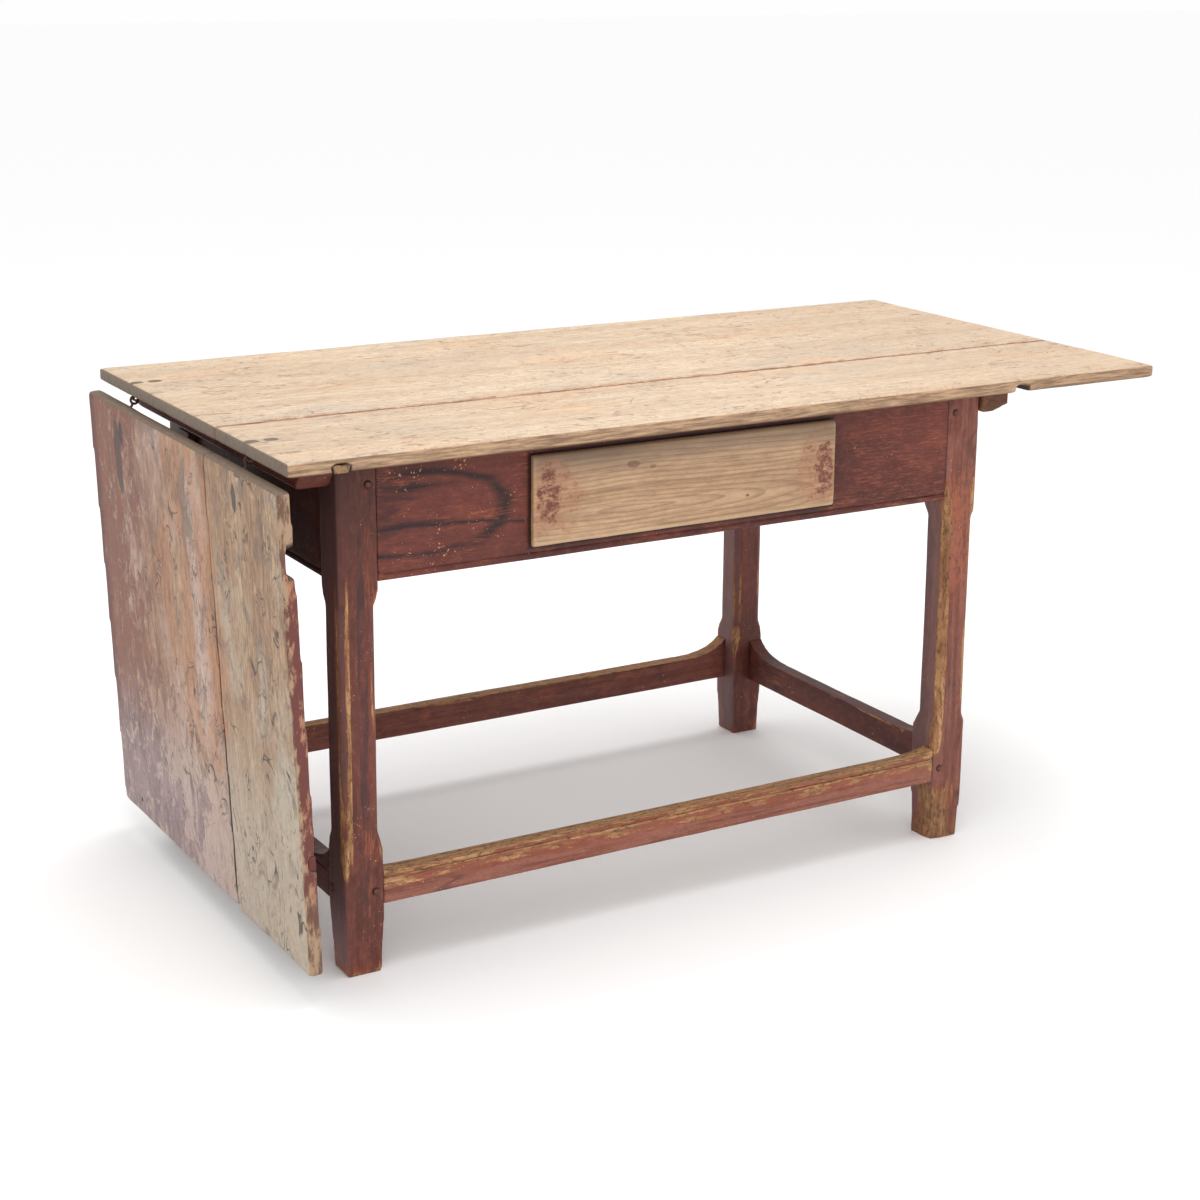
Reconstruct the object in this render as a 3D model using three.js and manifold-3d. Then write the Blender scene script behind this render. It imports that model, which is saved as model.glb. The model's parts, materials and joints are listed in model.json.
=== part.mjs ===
// Gateleg table: painted pine frame with one drawer, a two-plank scrubbed top, one drop leaf hung
// on two iron eye-and-staple hinges at the left end, and a gate that swings out under the leaf.
// Millimetres, +Z up. +X runs along the top away from the leaf, +Y from the drawer to the back.
// While building, x = 0 is the leaf end of the top and y = 0 its front edge; the finished table is
// moved at the end so that the origin is the middle of its footprint, on the floor.
import * as THREE from 'three';
import { mergeVertices } from 'three/addons/utils/BufferGeometryUtils.js';
import Module from 'manifold-3d';

const wasm = await Module();
wasm.setup();

// ---- Driving dimensions ------------------------------------------------------------------------
const fit = 0.3;            // gap between pieces that are joined
const slide = 1.2;          // gap between pieces that move past each other

const height = 770;         // floor to the upper face of the top
const top = { length: 1500, width: 760, thick: 21, frontPlank: 262 };
const leaf = { length: 685, width: 768, thick: 22, frontPlank: 266, edgeGap: 3, longer: 4 };
const frame = { left: 90, front: 54, length: 1096, depth: 652 };
const leg = { size: 60, waist: 4, foot: 4, chamfer: 9, blockPast: 8, easing: 26 };
const apron = { height: 172, thick: 25, setback: 2, bead: 9, quirk: 2.5 };
const stretcher = { bottom: 104, height: 46, thick: 26, setback: 2, rise: 27, run: 85, groove: 2 };
const tenon = { thick: 10, depth: 32, setback: 9, shoulder: 12 };
const peg = { diameter: 9, length: 40, proud: 1.5, fromShoulder: 13 };
const drawer = { width: 518, height: 133, low: 20, lip: 14, lipThick: 11, front: 24, offset: 6,
  length: 430, wall: 14, bottom: 8, groove: 5, travel: 300 };
const runner = { width: 34, height: 20, guideWidth: 16, guideHeight: 30 };
const batten = { width: 50, deep: 32, endInset: 48, endBevel: 22, edge: 4, tongueShift: 13 };
const rightEnd = { deep: 36, endBevel: 3, bevelRun: 28, bevelRise: 9, tongueInset: 32 };
const dovetail = { base: 20, head: 27, high: 11 };
const leafBatten = { width: 42, deep: 30, centre: 523, endInset: 58 };
const emptySlot = { base: 40, head: 45, centre: 96 };
const hinge = { wire: 4, eye: 12, inboard: 6, below: 5, frontAt: 150, backAt: 615, prong: 9,
  clinchReach: 31, clinch: 13, leafReach: 30 };
const gate = { pivotAt: 380, legWidth: 44, legThick: 36, proud: 10, toLeg: 6, half: 13,
  belowLeaf: 60, postWidth: 44, postThick: 25, railHigh: 56, railThick: 20, lowRail: 34,
  topRail: 18, pin: 16, pinReach: 22, swing: 61 };
const stop = { length: 70, width: 34, deep: 66 };
const hang = 2.4;           // degrees that the hanging leaf leans in under the table

// ---- Places that follow from them --------------------------------------------------------------
const underTop = height - top.thick;
const frameRight = frame.left + frame.length;
const frameBack = frame.front + frame.depth;
const apronLow = underTop - apron.height;
const rightLeg = frameRight - leg.size;
const backLeg = frameBack - leg.size;
const endFace = frame.left + apron.setback;               // outer face of the left end apron
const leafUnder = height - leaf.thick;                    // underside of the leaf when it is level
const leafFront = (top.width - leaf.width) / 2;
const hingeX = hinge.inboard;
const hingeZ = underTop - hinge.below;
const level = 90 + hang;                                  // leaf travel, hanging to level

// ---- Shapes ------------------------------------------------------------------------------------
function solid(geometry) {
  geometry.deleteAttribute('normal');
  geometry.deleteAttribute('uv');
  const merged = mergeVertices(geometry, 1e-5);
  return new wasm.Manifold(new wasm.Mesh({
    numProp: 3,
    vertProperties: new Float32Array(merged.attributes.position.array),
    triVerts: new Uint32Array(merged.index.array),
  }));
}

function box(x0, x1, y0, y1, z0, z1) {
  const geometry = new THREE.BoxGeometry(x1 - x0, y1 - y0, z1 - z0);
  return solid(geometry.translate((x0 + x1) / 2, (y0 + y1) / 2, (z0 + z1) / 2));
}

// A rod between two points, with round ends if asked.
function rod(from, to, radius, sides = 10, roundEnds = false) {
  const a = new THREE.Vector3(...from);
  const b = new THREE.Vector3(...to);
  const along = b.clone().sub(a);
  const turn = new THREE.Quaternion().setFromUnitVectors(
    new THREE.Vector3(0, 1, 0), along.clone().normalize());
  const shaft = new THREE.CylinderGeometry(radius, radius, along.length(), sides);
  shaft.applyQuaternion(turn).translate(...a.clone().add(b).multiplyScalar(0.5));
  let whole = solid(shaft);
  if (roundEnds) {
    for (const end of [a, b]) {
      whole = whole.add(solid(new THREE.SphereGeometry(radius, sides, 6)
        .applyQuaternion(turn).translate(...end)));
    }
  }
  return whole;
}

// An outline in (u, v) pushed along an axis: 'x' reads it as (y, z), 'y' as (x, z), 'z' as (x, y).
function extrude(outline, axis, from, to, segments = 6) {
  const shape = outline instanceof THREE.Shape
    ? outline : new THREE.Shape(outline.map(([u, v]) => new THREE.Vector2(u, v)));
  const geometry = new THREE.ExtrudeGeometry(shape,
    { depth: to - from, bevelEnabled: false, curveSegments: segments });
  const axes = {
    x: [[0, 1, 0], [0, 0, 1], [1, 0, 0]],
    y: [[1, 0, 0], [0, 0, 1], [0, 1, 0]],
    z: [[1, 0, 0], [0, 1, 0], [0, 0, 1]],
  }[axis].map((v) => new THREE.Vector3(...v));
  geometry.applyMatrix4(new THREE.Matrix4().makeBasis(...axes));
  if (axis === 'y') flip(geometry);
  geometry.translate(...axes[2].clone().multiplyScalar(from));
  return solid(geometry);
}

// (x, z) pushed along y is a left-handed frame, so its faces are turned the right way out again.
function flip(geometry) {
  const at = geometry.attributes.position;
  for (let i = 0; i < at.count; i += 3) {
    const a = new THREE.Vector3().fromBufferAttribute(at, i + 1);
    const b = new THREE.Vector3().fromBufferAttribute(at, i + 2);
    at.setXYZ(i + 1, b.x, b.y, b.z);
    at.setXYZ(i + 2, a.x, a.y, a.z);
  }
}

const cut = (body, ...tools) => tools.reduce((rest, tool) => rest.subtract(tool), body);
const join = (body, ...others) => others.reduce((whole, other) => whole.add(other), body);

// ---- Scene -------------------------------------------------------------------------------------
const material = (name, color, roughness, metalness = 0) =>
  Object.assign(new THREE.MeshStandardMaterial({ color, roughness, metalness }), { name });
const finish = {
  paint: () => material('red_paint', 0x6a3a33, 0.6),
  scrubbed: () => material('scrubbed_pine', 0xcdb08a, 0.7),
  weathered: () => material('weathered_pine', 0xb59a86, 0.75),
  bare: () => material('bare_pine', 0xc2a077, 0.7),
  inside: () => material('raw_pine', 0xb8956a, 0.8),
  peg: () => material('peg_birch', 0x5a3a28, 0.6),
  iron: () => material('forged_iron', 0x2b2624, 0.55, 0.8),
};

const table = new THREE.Group();
table.name = 'gateleg_table';

function piece(name, body, look, group = table) {
  const { vertProperties, triVerts, numProp } = body.getMesh();
  const geometry = new THREE.BufferGeometry();
  const points = new Float32Array((vertProperties.length / numProp) * 3);
  for (let i = 0; i < points.length / 3; i += 1) {
    for (let k = 0; k < 3; k += 1) points[3 * i + k] = vertProperties[numProp * i + k];
  }
  geometry.setAttribute('position', new THREE.BufferAttribute(points, 3));
  geometry.setIndex(new THREE.BufferAttribute(new Uint32Array(triVerts), 1));
  geometry.computeVertexNormals();
  const mesh = new THREE.Mesh(geometry, look());
  mesh.name = name;
  group.add(mesh);
  return mesh;
}

// ---- Pegs and the joints they lock -------------------------------------------------------------
// Each rail end is a tenon inside a leg, with one peg driven through leg and tenon from outside.
// A corner is told by its side along x (-1 left, +1 right) and along y (-1 front, +1 back).
const corners = [
  { name: 'front_left', sx: -1, sy: -1, x: frame.left, y: frame.front },
  { name: 'front_right', sx: 1, sy: -1, x: rightLeg, y: frame.front },
  { name: 'back_left', sx: -1, sy: 1, x: frame.left, y: backLeg },
  { name: 'back_right', sx: 1, sy: 1, x: rightLeg, y: backLeg },
];
const pegHeights = { apron: underTop - 33, stretcher: stretcher.bottom + 21 };

// The peg through the rail that runs along x ('long') or along y ('end') at one corner.
function pegRod(corner, run, level_, grow = 0) {
  const radius = peg.diameter / 2 + grow;
  const z = pegHeights[level_];
  const outerX = corner.sx < 0 ? corner.x : corner.x + leg.size;
  const outerY = corner.sy < 0 ? corner.y : corner.y + leg.size;
  const innerX = corner.sx < 0 ? corner.x + leg.size : corner.x;
  const innerY = corner.sy < 0 ? corner.y + leg.size : corner.y;
  const reach = peg.length + grow;
  if (run === 'long') {
    const x = innerX + corner.sx * peg.fromShoulder;
    return rod([x, outerY + corner.sy * peg.proud, z], [x, outerY - corner.sy * reach, z], radius);
  }
  const y = innerY + corner.sy * peg.fromShoulder;
  return rod([outerX + corner.sx * peg.proud, y, z], [outerX - corner.sx * reach, y, z], radius);
}

// The tenon of a rail at one corner, reaching into the leg; grow makes it the mortise.
function tenonBox(corner, run, z0, z1, grow = 0) {
  const inX = corner.sx < 0 ? corner.x + leg.size : corner.x;
  const inY = corner.sy < 0 ? corner.y + leg.size : corner.y;
  const back = 4;                                          // carries the tenon into its own rail
  const deep = tenon.depth + grow;
  const outerX = corner.sx < 0 ? corner.x : corner.x + leg.size;
  const outerY = corner.sy < 0 ? corner.y : corner.y + leg.size;
  const low = z0 - grow;
  const high = z1 + grow;
  if (run === 'long') {
    const y0 = outerY - corner.sy * (tenon.setback - grow);
    const y1 = outerY - corner.sy * (tenon.setback + tenon.thick + grow);
    const x0 = inX + corner.sx * deep;
    const x1 = inX - corner.sx * back;
    return box(Math.min(x0, x1), Math.max(x0, x1), Math.min(y0, y1), Math.max(y0, y1), low, high);
  }
  const x0 = outerX - corner.sx * (tenon.setback - grow);
  const x1 = outerX - corner.sx * (tenon.setback + tenon.thick + grow);
  const y0 = inY + corner.sy * deep;
  const y1 = inY - corner.sy * back;
  return box(Math.min(x0, x1), Math.max(x0, x1), Math.min(y0, y1), Math.max(y0, y1), low, high);
}

const tenonHeights = {
  apron: [apronLow + tenon.shoulder, underTop - tenon.shoulder],
  stretcher: [stretcher.bottom + 5, stretcher.bottom + stretcher.height - 5],
};

// ---- Legs --------------------------------------------------------------------------------------
// Square at the aprons and at the stretchers, relieved on the two inner faces between them, and
// drawn in a little towards the foot. All four edges of the shaft carry stopped chamfers.
const legBlockHigh = apronLow - leg.blockPast;
const legBlockLow = stretcher.bottom + stretcher.height + stretcher.rise + leg.blockPast;

function legSide(outer, inner) {
  const step = Math.sign(inner - outer);
  const waist = inner - step * leg.waist;
  const footTop = stretcher.bottom - 8;
  return [
    [outer + step * leg.foot, 0], [outer, footTop], [outer, underTop - fit],
    [inner, underTop - fit], [inner, legBlockHigh], [waist, legBlockHigh - leg.easing],
    [waist, legBlockLow + leg.easing], [inner, legBlockLow], [inner, footTop],
    [inner - step * leg.foot, 0],
  ];
}

// What each chamfer takes away: full depth along the shaft, running out to nothing at both blocks.
function legChamfers(corner, outerX, innerX, outerY, innerY) {
  const reach = leg.waist + 1;
  const shaft = [legBlockLow + leg.easing, legBlockHigh - leg.easing];
  const sidesX = [[outerX, corner.sx], [innerX + corner.sx * leg.waist, -corner.sx]];
  const sidesY = [[outerY, corner.sy], [innerY + corner.sy * leg.waist, -corner.sy]];
  return sidesX.flatMap(([x, outX]) => sidesY.map(([y, outY]) => {
    const section = (z, depth) => [
      [x + outX * reach, y + outY * reach, z], [x + outX * reach, y - outY * depth, z],
      [x - outX * depth, y + outY * reach, z],
    ];
    const deep = shaft.flatMap((z) => section(z, leg.chamfer + reach));
    return wasm.Manifold.hull([
      ...deep, ...section(legBlockLow, -leg.waist), ...section(legBlockHigh, -leg.waist)]);
  }));
}

for (const corner of corners) {
  const outerX = corner.sx < 0 ? corner.x : corner.x + leg.size;
  const innerX = corner.sx < 0 ? corner.x + leg.size : corner.x;
  const outerY = corner.sy < 0 ? corner.y : corner.y + leg.size;
  const innerY = corner.sy < 0 ? corner.y + leg.size : corner.y;
  const wide = [frame.left - 50, frameRight + 50, frame.front - 50, frameBack + 50];
  let body = extrude(legSide(outerX, innerX), 'y', wide[2], wide[3])
    .intersect(extrude(legSide(outerY, innerY), 'x', wide[0], wide[1]));
  body = cut(body, ...legChamfers(corner, outerX, innerX, outerY, innerY));
  for (const run of ['long', 'end']) {
    for (const rail of ['apron', 'stretcher']) {
      body = cut(body, tenonBox(corner, run, ...tenonHeights[rail], fit),
        pegRod(corner, run, rail, fit));
    }
  }
  piece(`leg_${corner.name}`, body, finish.paint);
}

// ---- Aprons ------------------------------------------------------------------------------------
// Section of a board whose outer face is at `face`, thickness going inwards, with a scratched bead
// along its lower edge.
function apronSection(face, inward) {
  const b = apron.bead;
  const q = apron.quirk;
  return [
    [face, underTop - fit], [face, apronLow + b + q], [face + inward * q, apronLow + b + q / 2],
    [face + inward * 0.6, apronLow + b - 1], [face, apronLow + b / 2],
    [face + inward * 1.2, apronLow + 1.2], [face + inward * 3.5, apronLow],
    [face + inward * apron.thick, apronLow], [face + inward * apron.thick, underTop - fit],
  ];
}

function withTenons(body, run, ends, rail) {
  for (const corner of ends) {
    body = cut(join(body, tenonBox(corner, run, ...tenonHeights[rail])),
      pegRod(corner, run, rail, fit));
  }
  return body;
}

const longSpan = [frame.left + leg.size + fit, rightLeg - fit];
const endSpan = [frame.front + leg.size + fit, backLeg - fit];
const at = (sx, sy) => corners.find((corner) => corner.sx === sx && corner.sy === sy);

const frontFace = frame.front + apron.setback;
const backFace = frameBack - apron.setback;
const rightFace = frameRight - apron.setback;

// The drawer's window in the front apron, and the drawer's own box in it.
const drawerCentre = (frame.left + frameRight) / 2 + drawer.offset;
const window_ = {
  x0: drawerCentre - drawer.width / 2 + drawer.lip,
  x1: drawerCentre + drawer.width / 2 - drawer.lip,
  z0: apronLow + drawer.low + drawer.lip,
  z1: apronLow + drawer.low + drawer.height - drawer.lip,
};

const frontApron = cut(extrude(apronSection(frontFace, 1), 'x', ...longSpan),
  box(window_.x0, window_.x1, frontFace - 9, frontFace + apron.thick + 9, window_.z0, window_.z1));
piece('apron_front', withTenons(frontApron, 'long', [at(-1, -1), at(1, -1)], 'apron'),
  finish.paint);
piece('apron_back', withTenons(extrude(apronSection(backFace, -1), 'x', ...longSpan), 'long',
  [at(-1, 1), at(1, 1)], 'apron'), finish.paint);
piece('apron_right', withTenons(extrude(apronSection(rightFace, -1), 'y', ...endSpan), 'end',
  [at(1, -1), at(1, 1)], 'apron'), finish.paint);

// ---- Gate places, needed by the left end's notches ---------------------------------------------
const pivotX = endFace + apron.thick / 2;
const gateLegFar = backLeg - gate.toLeg;
const gateLegNear = gateLegFar - gate.legWidth;
const gateOuter = endFace - gate.proud;
const gateInner = gateOuter + gate.legThick;
const halving = endFace + gate.half;                       // where leg and rails are halved together
const gateTop = leafUnder - gate.belowLeaf;
const flareTop = stretcher.bottom + stretcher.height + stretcher.rise;

// The notch that lets the closed gate leg sit into a rail of the left end.
const gateNotch = (z0, z1) =>
  box(endFace - 20, halving, gateLegNear - 2, gateLegFar + 2, z0, z1);
const pinHole = (z0, z1) => rod([pivotX, gate.pivotAt, z0], [pivotX, gate.pivotAt, z1],
  gate.pin / 2 + fit, 16);

piece('apron_left', cut(
  withTenons(extrude(apronSection(endFace, 1), 'y', ...endSpan), 'end', [at(-1, -1), at(-1, 1)],
    'apron'),
  gateNotch(apronLow - 9, underTop + 9),
  pinHole(apronLow - 9, apronLow + gate.pinReach + fit)), finish.paint);

// ---- Stretchers --------------------------------------------------------------------------------
// Seen from outside: a straight lower edge, and an upper edge that sweeps up to meet each leg.
function stretcherOutline(from, to, riseFrom, riseTo) {
  const low = stretcher.bottom;
  const high = low + stretcher.height;
  const shape = new THREE.Shape();
  shape.moveTo(from, low);
  shape.lineTo(to, low);
  shape.lineTo(to, high + riseTo);
  shape.quadraticCurveTo(to - stretcher.run * 0.3, high, to - stretcher.run, high);
  shape.lineTo(from + stretcher.run, high);
  shape.quadraticCurveTo(from + stretcher.run * 0.3, high, from, high + riseFrom);
  shape.closePath();
  return shape;
}

// The bead scratched along the outer face, as a shallow groove near the upper edge.
const grooveZ = stretcher.bottom + stretcher.height - 7;
const endGroove = (face) => box(face - stretcher.groove, face + stretcher.groove, endSpan[0] - 1,
  endSpan[1] + 1, grooveZ - stretcher.groove / 2, grooveZ + stretcher.groove / 2);
const longGroove = (face) => box(longSpan[0] - 1, longSpan[1] + 1, face - stretcher.groove,
  face + stretcher.groove, grooveZ - stretcher.groove / 2, grooveZ + stretcher.groove / 2);

function stretcherPiece(name, run, face, inward, rises, ends, ...cuts) {
  const span = run === 'long' ? longSpan : endSpan;
  const depth = [face, face + inward * stretcher.thick].sort((a, b) => a - b);
  const body = extrude(stretcherOutline(...span, ...rises), run === 'long' ? 'y' : 'x', ...depth, 5);
  const groove = run === 'long' ? longGroove(face) : endGroove(face);
  return piece(name, cut(withTenons(cut(body, groove), run, ends, 'stretcher'), ...cuts),
    finish.paint);
}

const low = { front: frame.front + stretcher.setback, back: frameBack - stretcher.setback,
  left: frame.left + stretcher.setback, right: frameRight - stretcher.setback };
stretcherPiece('stretcher_front', 'long', low.front, 1, [3, 9], [at(-1, -1), at(1, -1)]);
stretcherPiece('stretcher_back', 'long', low.back, -1, [stretcher.rise, stretcher.rise],
  [at(-1, 1), at(1, 1)]);
stretcherPiece('stretcher_right', 'end', low.right, -1, [stretcher.rise, stretcher.rise],
  [at(1, -1), at(1, 1)]);
stretcherPiece('stretcher_left', 'end', low.left, 1, [stretcher.rise, stretcher.rise],
  [at(-1, -1), at(-1, 1)],
  gateNotch(stretcher.bottom - 9, flareTop + 9),
  pinHole(stretcher.bottom + stretcher.height - gate.pinReach - fit, flareTop + 9));

// ---- Pegs --------------------------------------------------------------------------------------
for (const corner of corners) {
  for (const run of ['long', 'end']) {
    for (const rail of ['apron', 'stretcher']) {
      piece(`peg_${rail}_${run}_${corner.name}`, pegRod(corner, run, rail), finish.peg);
    }
  }
}

// ---- Top: two planks on two sliding-dovetail battens -------------------------------------------
// The dovetail in (x, z), standing on the underside of the board at z = under.
function dovetailOutline(x, under, { base, head, high }, grow = 0) {
  return [
    [x - base / 2 - grow, under - 6], [x + base / 2 + grow, under - 6],
    [x + base / 2 + grow, under], [x + head / 2 + grow, under + high + grow],
    [x - head / 2 - grow, under + high + grow], [x - base / 2 - grow, under],
  ];
}

const battenGap = peg.proud + fit * 2;                     // the battens pass outside the end pegs
const leftBatten = { x: frame.left - battenGap - batten.width / 2, tongueInset: 1 };
const rightBatten = { x: frameRight + battenGap + batten.width / 2, tongueInset: rightEnd.tongueInset };

// A batten from front to back whose body stops short of the edges and slopes up at its ends.
function battenBody(x, width, deep, under, from, to, [leftRun, leftRise], [rightRun, rightRise],
  endBevel = batten.endBevel) {
  const lowFace = under - fit;
  const ends = [
    [from, lowFace], [to, lowFace], [to - endBevel, lowFace - deep],
    [from + endBevel, lowFace - deep],
  ];
  const sides = [
    [x - width / 2, lowFace], [x - width / 2, lowFace - deep + leftRise],
    [x - width / 2 + leftRun, lowFace - deep], [x + width / 2 - rightRun, lowFace - deep],
    [x + width / 2, lowFace - deep + rightRise], [x + width / 2, lowFace],
  ];
  return extrude(ends, 'x', x - width, x + width).intersect(extrude(sides, 'y', from, to));
}

function topBatten(name, { x, tongueInset }, deep, leftBevel, rightBevel, endBevel) {
  const body = battenBody(x, batten.width, deep, underTop, batten.endInset,
    top.width - batten.endInset, leftBevel, rightBevel, endBevel);
  const tongue = extrude(dovetailOutline(x + batten.tongueShift, underTop, dovetail), 'y',
    tongueInset, top.width - tongueInset);
  // Outside the body the tongue has nothing under the board, so it is trimmed level with it.
  const trim = box(x - 60, x + 60, -9, top.width + 9, underTop - 9, underTop + fit);
  piece(name, join(body, cut(tongue, trim),
    tongue.intersect(box(x - 60, x + 60, batten.endInset, top.width - batten.endInset,
      underTop - 9, underTop + 9))), finish.paint);
}
const eased = [batten.edge, batten.edge];
topBatten('top_batten_left', leftBatten, batten.deep, eased, eased, batten.endBevel);
topBatten('top_batten_right', rightBatten, rightEnd.deep, eased,
  [rightEnd.bevelRun, rightEnd.bevelRise], rightEnd.endBevel);

const topSlots = [leftBatten, rightBatten].map(({ x }) =>
  extrude(dovetailOutline(x + batten.tongueShift, underTop, dovetail, fit), 'y', -9, top.width + 9));

// ---- Iron hinges: a staple in the top holds an eye in the leaf ----------------------------------
const hingePlaces = { front: hinge.frontAt, back: hinge.backAt };

// Two prongs driven up through the end of the top and clinched over on its upper face.
function staple(y, grow = 0) {
  const r = hinge.wire / 2 + grow;
  const sink = height - hinge.wire / 2 - 0.4;
  const cross = rod([hingeX, y - hinge.prong, hingeZ], [hingeX, y + hinge.prong, hingeZ], r, 8, true);
  const prongs = [-1, 1].map((side) => {
    const py = y + side * hinge.prong;
    const knee = [hinge.clinchReach, py, sink];
    return join(rod([hingeX, py, hingeZ], knee, r, 8, true),
      rod(knee, [hinge.clinchReach + hinge.clinch, py, sink], r, 8, true));
  });
  return join(cross, ...prongs);
}

// The eye round the staple's cross wire, and its shank through the leaf, in the level position.
function eye(y, grow = 0) {
  const r = hinge.wire / 2 + grow;
  const ring = solid(new THREE.TorusGeometry(hinge.eye / 2, r, 8, 16).rotateX(Math.PI / 2)
    .translate(hingeX, y, hingeZ));
  const sink = height - hinge.wire / 2 - 0.4;
  const exit = [-leaf.edgeGap - hinge.leafReach, y, sink];
  const toExit = new THREE.Vector2(exit[0] - hingeX, exit[2] - hingeZ).setLength(hinge.eye / 2);
  const root = [hingeX + toExit.x, y, hingeZ + toExit.y];
  return join(ring, rod(root, exit, r, 8, true),
    rod(exit, [exit[0] - hinge.clinch, y, sink], r, 8, true));
}

// Room in the lower corner of the top for the turning eye.
const eyeRoom = (y) => rod([hingeX, y - hinge.wire / 2 - slide, hingeZ],
  [hingeX, y + hinge.wire / 2 + slide, hingeZ], hinge.eye / 2 + hinge.wire / 2 + slide, 16)
  .add(box(-9, hingeX, y - hinge.wire / 2 - slide, y + hinge.wire / 2 + slide, hingeZ - 9,
    underTop + hinge.wire));

const topCuts = [...topSlots];
for (const y of Object.values(hingePlaces)) topCuts.push(staple(y, fit), eyeRoom(y));
piece('top_plank_front', cut(box(0, top.length, 0, top.frontPlank - fit / 2, underTop, height),
  ...topCuts), finish.scrubbed);
piece('top_plank_back', cut(box(0, top.length, top.frontPlank + fit / 2, top.width, underTop,
  height), ...topCuts), finish.scrubbed);
for (const [where, y] of Object.entries(hingePlaces)) {
  piece(`hinge_staple_${where}`, staple(y), finish.iron);
}

// ---- Drop leaf, built level and then let down about the hinge wires ------------------------------
const leafGroup = new THREE.Group();
const leafEdge = -leaf.edgeGap;
const leafEnd = leafEdge - leaf.length;
const seamY = leafFront + leaf.frontPlank;
const leafSlotX = (fromEdge) => leafEdge - fromEdge;

const leafCuts = [
  extrude(dovetailOutline(leafSlotX(leafBatten.centre), leafUnder, dovetail, fit), 'y',
    leafFront - 9, leafFront + leaf.width + 9),
  extrude(dovetailOutline(leafSlotX(emptySlot.centre), leafUnder, { ...dovetail, ...emptySlot }),
    'y', leafFront - 9, leafFront + leaf.width + 9),
];
for (const y of Object.values(hingePlaces)) leafCuts.push(eye(y, fit));
piece('leaf_plank_front', cut(box(leafEnd - leaf.longer, leafEdge, leafFront, seamY - fit / 2,
  leafUnder, height), ...leafCuts), finish.weathered, leafGroup);
piece('leaf_plank_back', cut(box(leafEnd, leafEdge, seamY + fit / 2, leafFront + leaf.width,
  leafUnder, height), ...leafCuts), finish.weathered, leafGroup);

const leafBattenX = leafSlotX(leafBatten.centre);
const leafBattenFrom = leafFront + leafBatten.endInset;
const leafBattenTo = leafFront + leaf.width - leafBatten.endInset;
const leafTongue = extrude(dovetailOutline(leafBattenX, leafUnder, dovetail), 'y', leafFront + 2,
  leafFront + leaf.width - 2);
piece('leaf_batten', join(
  battenBody(leafBattenX, leafBatten.width, leafBatten.deep, leafUnder, leafBattenFrom,
    leafBattenTo, eased, eased),
  cut(leafTongue, box(leafBattenX - 60, leafBattenX + 60, -99, leaf.width + 99, leafUnder - 9,
    leafUnder + fit)),
  leafTongue.intersect(box(leafBattenX - 60, leafBattenX + 60, leafBattenFrom, leafBattenTo,
    leafUnder - 9, leafUnder + 9))), finish.paint, leafGroup);
for (const [where, y] of Object.entries(hingePlaces)) {
  piece(`hinge_eye_${where}`, eye(y), finish.iron, leafGroup);
}

// The block under the leaf that the gate leg swings up against: it stands square to the open gate,
// just ahead of the leg's outer face.
const swing = THREE.MathUtils.degToRad(gate.swing);
const legRun = (gateLegNear + gateLegFar) / 2 - gate.pivotAt;
const ahead = pivotX - gateOuter + slide + stop.width / 2;
const stopAt = [
  pivotX - Math.cos(swing) * ahead - Math.sin(swing) * legRun,
  gate.pivotAt + Math.cos(swing) * legRun - Math.sin(swing) * ahead,
];
const stopBlock = new THREE.BoxGeometry(stop.width, stop.length, stop.deep);
stopBlock.rotateZ(swing);
stopBlock.translate(...stopAt, leafUnder - fit - stop.deep / 2);
piece('leaf_stop_block', solid(stopBlock), finish.bare, leafGroup);

const letDown = new THREE.Matrix4().makeTranslation(hingeX, 0, hingeZ)
  .multiply(new THREE.Matrix4().makeRotationY(-THREE.MathUtils.degToRad(level)))
  .multiply(new THREE.Matrix4().makeTranslation(-hingeX, 0, -hingeZ));
leafGroup.applyMatrix4(letDown);
for (const mesh of [...leafGroup.children]) {
  mesh.applyMatrix4(leafGroup.matrix);
  table.add(mesh);
}

// ---- Gate: pivot post, two rails and a leg halved into the end's rails when closed ---------------
const postLow = stretcher.bottom + stretcher.height + slide;
const postHigh = apronLow - slide;
const postFrom = gate.pivotAt - gate.postWidth / 2;
const postTo = gate.pivotAt + gate.postWidth / 2;
const railX = [pivotX - gate.railThick / 2, pivotX + gate.railThick / 2];
const tenonX = [pivotX - tenon.thick / 2, pivotX + tenon.thick / 2];
const gateRails = {
  top: [postHigh - gate.topRail - gate.railHigh, postHigh - gate.topRail],
  bottom: [postLow + gate.lowRail, postLow + gate.lowRail + gate.railHigh],
};
const gateTenon = (y0, y1, [z0, z1], grow = 0) =>
  box(tenonX[0] - grow, tenonX[1] + grow, y0 - grow, y1 + grow, z0 + 8 - grow, z1 - 8 + grow);
const gateTenonDepth = 24;

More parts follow.
